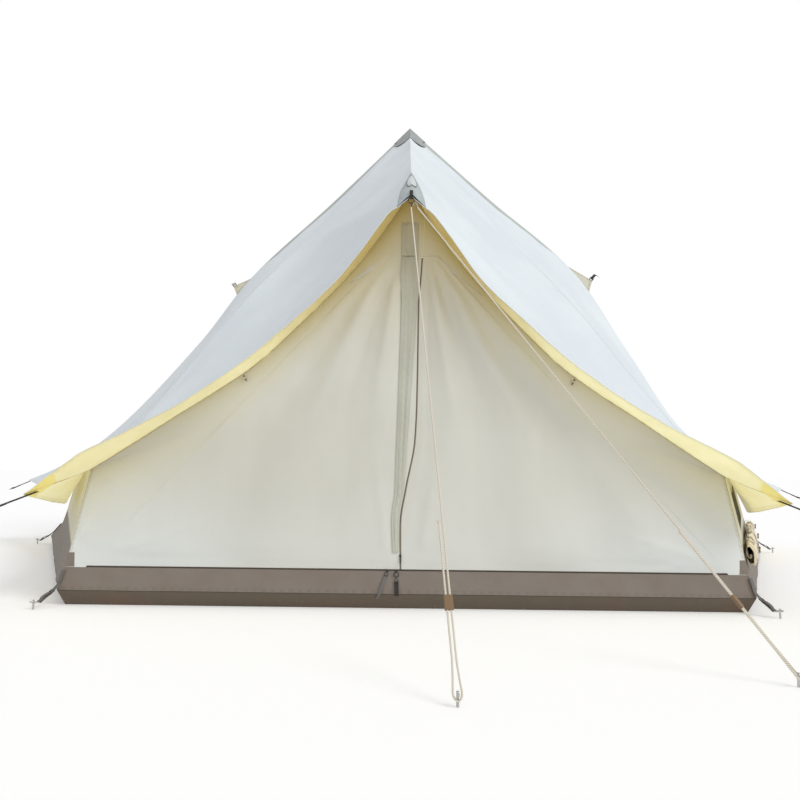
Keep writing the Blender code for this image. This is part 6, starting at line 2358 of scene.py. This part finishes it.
    def tip(self) -> None:
        """Make the ring under the boot, its strap and the links that carry the ropes."""
        ring = Vector(self.tip_ring)
        self.hardware.place("ring", "tip_ring_wire", axes(ring, FRONT, UP), BLACK_METAL, "plastic",
                            node="tip_ring")
        low = ring + Vector((0, 0, 0.013))
        fold = [low + Vector((0, -0.0045 * math.sin(a), -0.0045 * math.cos(a)))
                for a in spread(6, 0.0, math.pi * 0.8)]
        path = [ring + Vector((0, -0.0022, 0.046)), ring + Vector((0, -0.0018, 0.028)),
                low + Vector((0, 0.0042, 0.005)), *fold, low + Vector((0, -0.0050, 0.008)),
                ring + Vector((0, -0.0042, 0.030)), ring + Vector((0, -0.0040, 0.042))]
        Strap("tip_strap", path, ACROSS, FRONT, STRAP_BLACK, "tip_ring", 0.014, 0.0014).build()
        ropes = Ropes()
        for index, side in enumerate(Side):
            start = Vector(ropes.start) + Vector((ropes.starts_apart * index, 0, self.link_rise))
            hold = ring + Vector((0.001 + 0.006 * index, 0, -0.0105))
            way = hold - start
            size = (way.length + self.link_overlap) / self.link_length
            self.hardware.place("link", f"tip_link_{side.word}",
                                axes((hold + start) / 2, way, ACROSS),
                                STEEL if index else BLACK_METAL, "plastic", node="tip_ring",
                                scale=(1.0, 1.0, size))

    def tabs(self) -> None:
        """Make the pull-out tabs on the side seams, with buckle and webbing."""
        for side in Side:
            base, tips = ([Vector((x, 0, z)) for x, z in spots] for spots in self.tab_spots[side])
            if side is Side.RIGHT:
                seam = HIPS["right"]
                low = Vector((1.375, 0, seam.height(1.375) + base[2].z - seam.height(1.3)))
                shift = low - base[2]
                base = [base[1], base[2], low]
                tips = [tip + shift * 0.8 + Vector((0.018, 0, 0.006)) for tip in tips]
            self.tab_cloth(side, base, tips)
            self.tab_webbing(side, tips)

    def tab_cloth(self, side: Side, base: list[Vector], tips: list[Vector]) -> None:
        """Make a tab's cloth from its seam out to its two tips, with hollow edges."""
        rows = []
        for share in spread(14):
            row = []
            for s in spread(16):
                inner = blend(base[0], base[2], s)
                outer = blend(tips[0], tips[1], s)
                curve = math.sin(math.pi * s) * self.tab_hollow * (share - share ** 2) * 4
                bend = (base[2] - base[0]).normalized() * curve * (2 * s - 1)
                place = blend(inner, outer, share) - bend
                rumple = math.sin(math.pi * share) * noise.noise(place * 40.0)
                place.y = 0.0011 + 0.0016 * rumple
                row.append(place)
            rows.append(row)
        cloth = plain(f"tab_cloth_{side.word}", rows, "sfff", -FRONT, SIDE_CANVAS,
                      CLOTH_THICKNESS, self.tab_flat)
        cloth.hang(f"pullout_tab_{side.word}", "stretched", [], "roof")

    def tab_webbing(self, side: Side, tips: list[Vector]) -> None:
        """Make a tab's buckle, and the webbing that runs on out of it."""
        node = f"pullout_tab_{side.word}"
        edge = (tips[1] - tips[0]).normalized()
        out = facing(Vector((0, 1, 0)).cross(edge), ACROSS * side.value)
        centre = (tips[0] + tips[1]) / 2 + out * 0.011
        self.hardware.place("buckle", f"tab_buckle_{side.word}", axes(centre, out, FRONT),
                            BLACK_METAL, "webbing", node=node)
        reach, finish = self.tab_tails[side]
        begin = centre + out * 0.002 + FRONT * 0.0028
        path = [begin, begin + out * 0.012 + FRONT * 0.001,
                begin + out * (reach * 0.5) + Vector((0, 0, -0.004)),
                begin + out * reach - UP * (reach * self.tab_fall)]
        Strap(f"tab_webbing_{side.word}", path, edge, FRONT, finish, node, 0.020, 0.0016,
              held="hung").build()

    def zips(self) -> None:
        """Make the zip sliders with their pulls, rings and tabs."""
        wall = FrontWall(self.wall)
        low = wall.slider_low
        slider = Vector((wall.slider_x(low), DOOR_Y - self.upright_out, low))
        self.hardware.place("slider", "slider_upright", axes(slider, -UP, -FRONT), BLACK_METAL,
                            "steel", Body.SLIDER, Body.SLIDER.value)
        middle = self.middle(Body.PULL.value)
        self.hardware.place("pull", "pull_upright", axes(middle, UP, FRONT), BLACK_METAL, "steel",
                            Body.PULL, Body.PULL.value)
        for pull in BOTTOM_PULLS:
            side, body, node = pull.side, pull.body, pull.body.value
            at = Vector((pull.x, DOOR_Y - self.bottom_out, self.bottom_height))
            self.hardware.place("slider", f"slider_{side.word}",
                                axes(at, Vector((side.value, 0, 0)), -FRONT), BLACK_METAL, "steel",
                                body, node, (0.9, 1.0, 0.9))
            way = Vector(pull.lean).normalized()
            reach = 0.0
            for k, (distance, size) in enumerate(pull.rings):
                place = at + way * distance
                place.y = self.wall.front(place.x, place.z, DOOR_Y) - self.ring_out
                self.hardware.place("ring", f"pull_ring_{side.word}_{k}", axes(place, FRONT, way),
                                    BLACK_METAL, "steel", body, node, (size, size, 0.8))
                reach = distance + 0.013 * size
            path = []
            for share in spread(5):
                place = at + way * (reach - 0.002 + pull.length * share)
                swell = 0.002 * math.sin(math.pi * share)
                place.y = self.wall.front(place.x, place.z, DOOR_Y) - self.tab_out - swell
                path.append(place)
            across = way.cross(FRONT).normalized()
            Strap(f"pull_tab_{side.word}", path, across, FRONT, pull.finish, node, pull.width,
                  0.0014, body, "hung").build()

    def middle(self, node: str) -> Vector:
        """Middle of a node's box."""
        thing = bpy.data.objects[node]
        corners = [thing.matrix_world @ Vector(corner) for corner in thing.bound_box]
        return sum(corners, Vector()) / 8

    def toggles(self) -> None:
        """Make the toggles on the front seam that tie back the rolled doors."""
        for side in Side:
            place = front_seam_point(0.73)
            at = Vector((side.value * place.x, DOOR_Y - 0.0095, place.z - 0.030))
            self.hardware.place("toggle", f"seam_toggle_{side.word}",
                                axes(at, Vector((side.value * 0.5, 0, 1)), FRONT), BROWN_PLASTIC,
                                "plastic")
            top = at + Vector((0, 0.004, 0.018))
            path = [top, at + Vector((0, 0.0035, 0.008)), at + Vector((0, -0.0045, 0.001)),
                    at + Vector((0, -0.003, -0.004))]
            Strap(f"seam_loop_{side.word}", path, ACROSS, FRONT, STRAP_CREAM,
                  f"front_wall_{side.word}", 0.011, 0.0012, held="hung").build()

    def build(self) -> None:
        """Make every fitting."""
        self.eaves()
        self.corners()
        self.pegs()
        self.tip()
        self.tabs()
        self.zips()
        self.toggles()


@dataclass
class SideWindow:
    """The mesh in the right front wall's opening and the flap gathered under it."""

    hardware: Hardware
    along: tuple[float, float] = WINDOW_ALONG
    heights: tuple[float, float] = WINDOW_HEIGHTS
    overlap: float = 0.02
    start: float = 0.035
    end: float = 0.74
    height: float = 0.235
    roll_depth: float = 0.034
    roll_height: float = 0.080

    def place(self, share: float, height: float) -> tuple[Vector, Vector]:
        """Outer side of the wall and its outward way."""
        one, two = HIPS["front_right"], HIPS["right"]
        start, end = one.wall_point(height), two.wall_point(height)
        up = blend(one.wall_point(height + 0.05), two.wall_point(height + 0.05), share)
        at = blend(start, end, share)
        return at, (end - start).cross(up - at).normalized()

    def mesh(self) -> None:
        """Make the insect mesh behind the opening."""
        rows = []
        low, high = self.heights
        near, far = self.along
        for height in spread(14, low - self.overlap, high + self.overlap):
            row = []
            for share in spread(60, near - 0.012, far + 0.012):
                at, out = self.place(share, height)
                row.append(at - out * (0.004 * out.xy.length + 0.0009))
            rows.append(row)
        cloth = plain("cloth_window_mesh", rows, "ssss", Vector((1, -1, 0)), NET, 0.0005)
        cloth.hang("window_mesh", "stretched", ["cloth_side_wall_front_right"], "mesh")

    def section(self, run: float) -> tuple[Vector, Vector, Vector, float, float]:
        """Middle, outward and upward ways and half sizes of the gathered flap along it."""
        share = blend(self.start, self.end, run)
        at, out = self.place(share, self.height)
        above, _ = self.place(share, self.height + 0.05)
        puff = 0.86 + 0.14 * math.cos(math.tau * 2 * run)
        end = 0.62 + 0.38 * min(1.0, run / 0.05, (1 - run) / 0.05) ** 0.5
        deep = self.roll_depth * puff * end
        tall = self.roll_height * puff * end * blend(1.0, 0.62, run)
        return at + out * (deep + 0.0005), out, (above - at).normalized(), deep, tall

    def flap(self) -> None:
        """Make the flap, gathered in folds from its seam over itself."""
        rows = []
        depths: list[float] = []
        first, last = math.radians(-168), math.radians(345)
        for run in spread(150):
            middle, out, up, deep, tall = self.section(run)
            row = []
            for turn in spread(110, first, last):
                share = (turn - first) / (last - first)
                outer = 0.5 + 0.5 * math.cos(turn)
                sway = 2.2 * noise.noise(Vector((run * 6, turn * 1.1, 1.0)))
                fold = 0.75 - 1.5 * abs(math.sin(run * 26 + sway)) ** 0.7
                fold += noise.noise(Vector((run * 12.0, turn * 2.2, 4.0)))
                fold += 0.5 * noise.noise(Vector((run * 40.0, turn * 5.0, 9.0)))
                deepen = 0.17 * max(min(fold, 1.2), -1.4) * outer * (1 - 0.5 * share)
                size = (1.0 - 0.93 * share ** 2.2) * (0.84 + deepen)
                row.append(middle + out * (deep * size * math.cos(turn))
                           + up * (tall * size * math.sin(turn)))
                depths.append(fold)
            rows.append(row)
        patch = Patch(as_points(rows), (FREE, FREE, SEWN, FREE), ripple=0.0)
        # Painted shade in the sunken hollows of the gathered folds.
        sunk = -0.05 - np.array(depths).reshape(patch.points.shape[:2])
        patch.marks["apex"] = smooth(sunk / 0.8) * 0.9
        middle = self.place(0.3, self.height)[1]
        cloth = Cloth("cloth_window_flap", [patch], middle, BUNCH_CANVAS, BUNCH_CANVAS, 0.0016)
        cloth.hang("window_flap", "gathered", ["cloth_side_wall_front_right"], "wall")

    def ties(self) -> None:
        """Make the loops round the gathered flap and their toggles."""
        for k, run in enumerate((0.085, 0.5, 0.915)):
            middle, out, up, deep, tall = self.section(run)
            path = [middle + out * (deep * 0.93 * math.cos(a)) + up * (tall * 0.95 * math.sin(a))
                    for a in spread(14, math.radians(-150), math.radians(150))]
            along = up.cross(out).normalized()
            Strap(f"flap_loop_{k}", path, along, out, STRAP_CREAM, "window_flap", 0.011,
                  0.0012).build()
            at = middle + out * (deep * 0.93 + 0.0042)
            self.hardware.place("toggle", f"flap_toggle_{k}", axes(at, up + out * 0.25, out),
                                BROWN_PLASTIC, "plastic", node="window_flap")

    def build(self) -> None:
        """Make the window's mesh, flap and ties."""
        self.mesh()
        self.flap()
        self.ties()


@dataclass
class Studio:
    """Camera at the photograph's place, a pale floor, and soft light from the right front."""

    place: Place = (-0.023, -5.234, 0.633)
    focal: float = 700.0
    pitch: float = 5.06
    roll: float = 0.0122
    shift_x: float = -0.0047
    fill: float = 0.62

    def camera(self) -> None:
        """Set up the camera."""
        data = bpy.data.cameras.new("camera")
        data.sensor_width = 36.0
        data.lens = 36.0 * self.focal / 800.0
        data.shift_x = self.shift_x
        data.clip_end = 100.0
        camera = add("camera", data)
        camera.location = self.place
        tilt = Matrix.Rotation(math.radians(90.0 + self.pitch), 4, "X")
        camera.rotation_euler = (tilt @ Matrix.Rotation(self.roll, 4, "Z")).to_euler()
        bpy.context.scene.camera = camera

    def world(self) -> None:
        """Make a world that is white to look at and dimmer as a light."""
        world = bpy.data.worlds.new("studio")
        bpy.context.scene.world = world
        world.use_nodes = True
        tree = world.node_tree
        back = tree.nodes["Background"]
        path = tree.nodes.new("ShaderNodeLightPath")
        seen = tree.nodes.new("ShaderNodeMath")
        seen.operation = "MAXIMUM"
        tree.links.new(path.outputs["Is Camera Ray"], seen.inputs[0])
        tree.links.new(path.outputs["Is Transmission Ray"], seen.inputs[1])
        level = tree.nodes.new("ShaderNodeMapRange")
        level.inputs["To Min"].default_value = self.fill
        level.inputs["To Max"].default_value = 1.0
        tree.links.new(seen.outputs[0], level.inputs["Value"])
        back.inputs["Color"].default_value = (1.0, 1.0, 1.0, 1.0)
        tree.links.new(level.outputs[0], back.inputs["Strength"])

    def lamp(self, name: str, energy: float, angle: float, elevation: float,
             azimuth: float) -> None:
        """Add a soft sun from a compass direction, in degrees from the front to the right."""
        data = bpy.data.lights.new(name, "SUN")
        data.energy = energy
        data.angle = math.radians(angle)
        lamp = add(name, data)
        up, round_by = math.radians(elevation), math.radians(azimuth)
        toward = Vector((math.sin(round_by) * math.cos(up), -math.cos(round_by) * math.cos(up),
                         math.sin(up)))
        lamp.rotation_euler = toward.to_track_quat("Z", "Y").to_euler()

    def floor(self) -> None:
        """Make the floor."""
        bpy.ops.mesh.primitive_plane_add(size=60.0, location=(0, 0, -0.0005))
        floor = bpy.context.object
        floor.name = "floor"
        bpy.ops.object.transform_apply(location=True, rotation=True, scale=True)
        backdrop = Backdrop("studio_floor", (0.93, 0.93, 0.93), 0.19)
        floor.data.materials.append(WARDROBE.get(backdrop))
        floor.select_set(False)

    def build(self) -> None:
        """Set up the camera, the light and the floor."""
        self.camera()
        self.world()
        self.lamp("key", 1.12, 24.0, 40.0, 60.0)
        self.lamp("front", 0.35, 60.0, 6.0, 0.0)
        self.floor()
        bpy.context.scene.view_settings.view_transform = "Standard"


def main() -> None:
    """Dress the tent, and log the pieces that it makes and the sizes of its cloths and cords."""
    logging.basicConfig(level=logging.INFO, format="%(message)s")
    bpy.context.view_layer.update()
    for thing in bpy.context.view_layer.objects:
        thing.select_set(False)
    Studio().build()
    Ropes().build()
    roof = Roof().build()
    LowWalls(roof).build()
    FrontWall(roof).build()
    PeakAndBoot(roof).build()
    hardware = Hardware()
    Fittings(hardware, Probe([bpy.data.objects["cloth_mud_wall_front"]])).build()
    SideWindow(hardware).build()
    hardware.clear()
    dress_nodes()


def dress_nodes() -> None:
    """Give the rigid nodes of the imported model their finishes."""
    finishes = {
        "centre_pole_lower": ALUMINIUM, "centre_pole_upper": ALUMINIUM, "front_pole": ALUMINIUM,
        Body.RUNNER_LEFT.value: BROWN_PLASTIC, Body.RUNNER_RIGHT.value: BROWN_PLASTIC,
    }
    for name, finish in finishes.items():
        node = bpy.data.objects[name]
        for slot in node.material_slots:
            slot.material = WARDROBE.get(finish)
        LOG.info("%s: %s", name, finish.name)


if __name__ == "__main__":
    main()
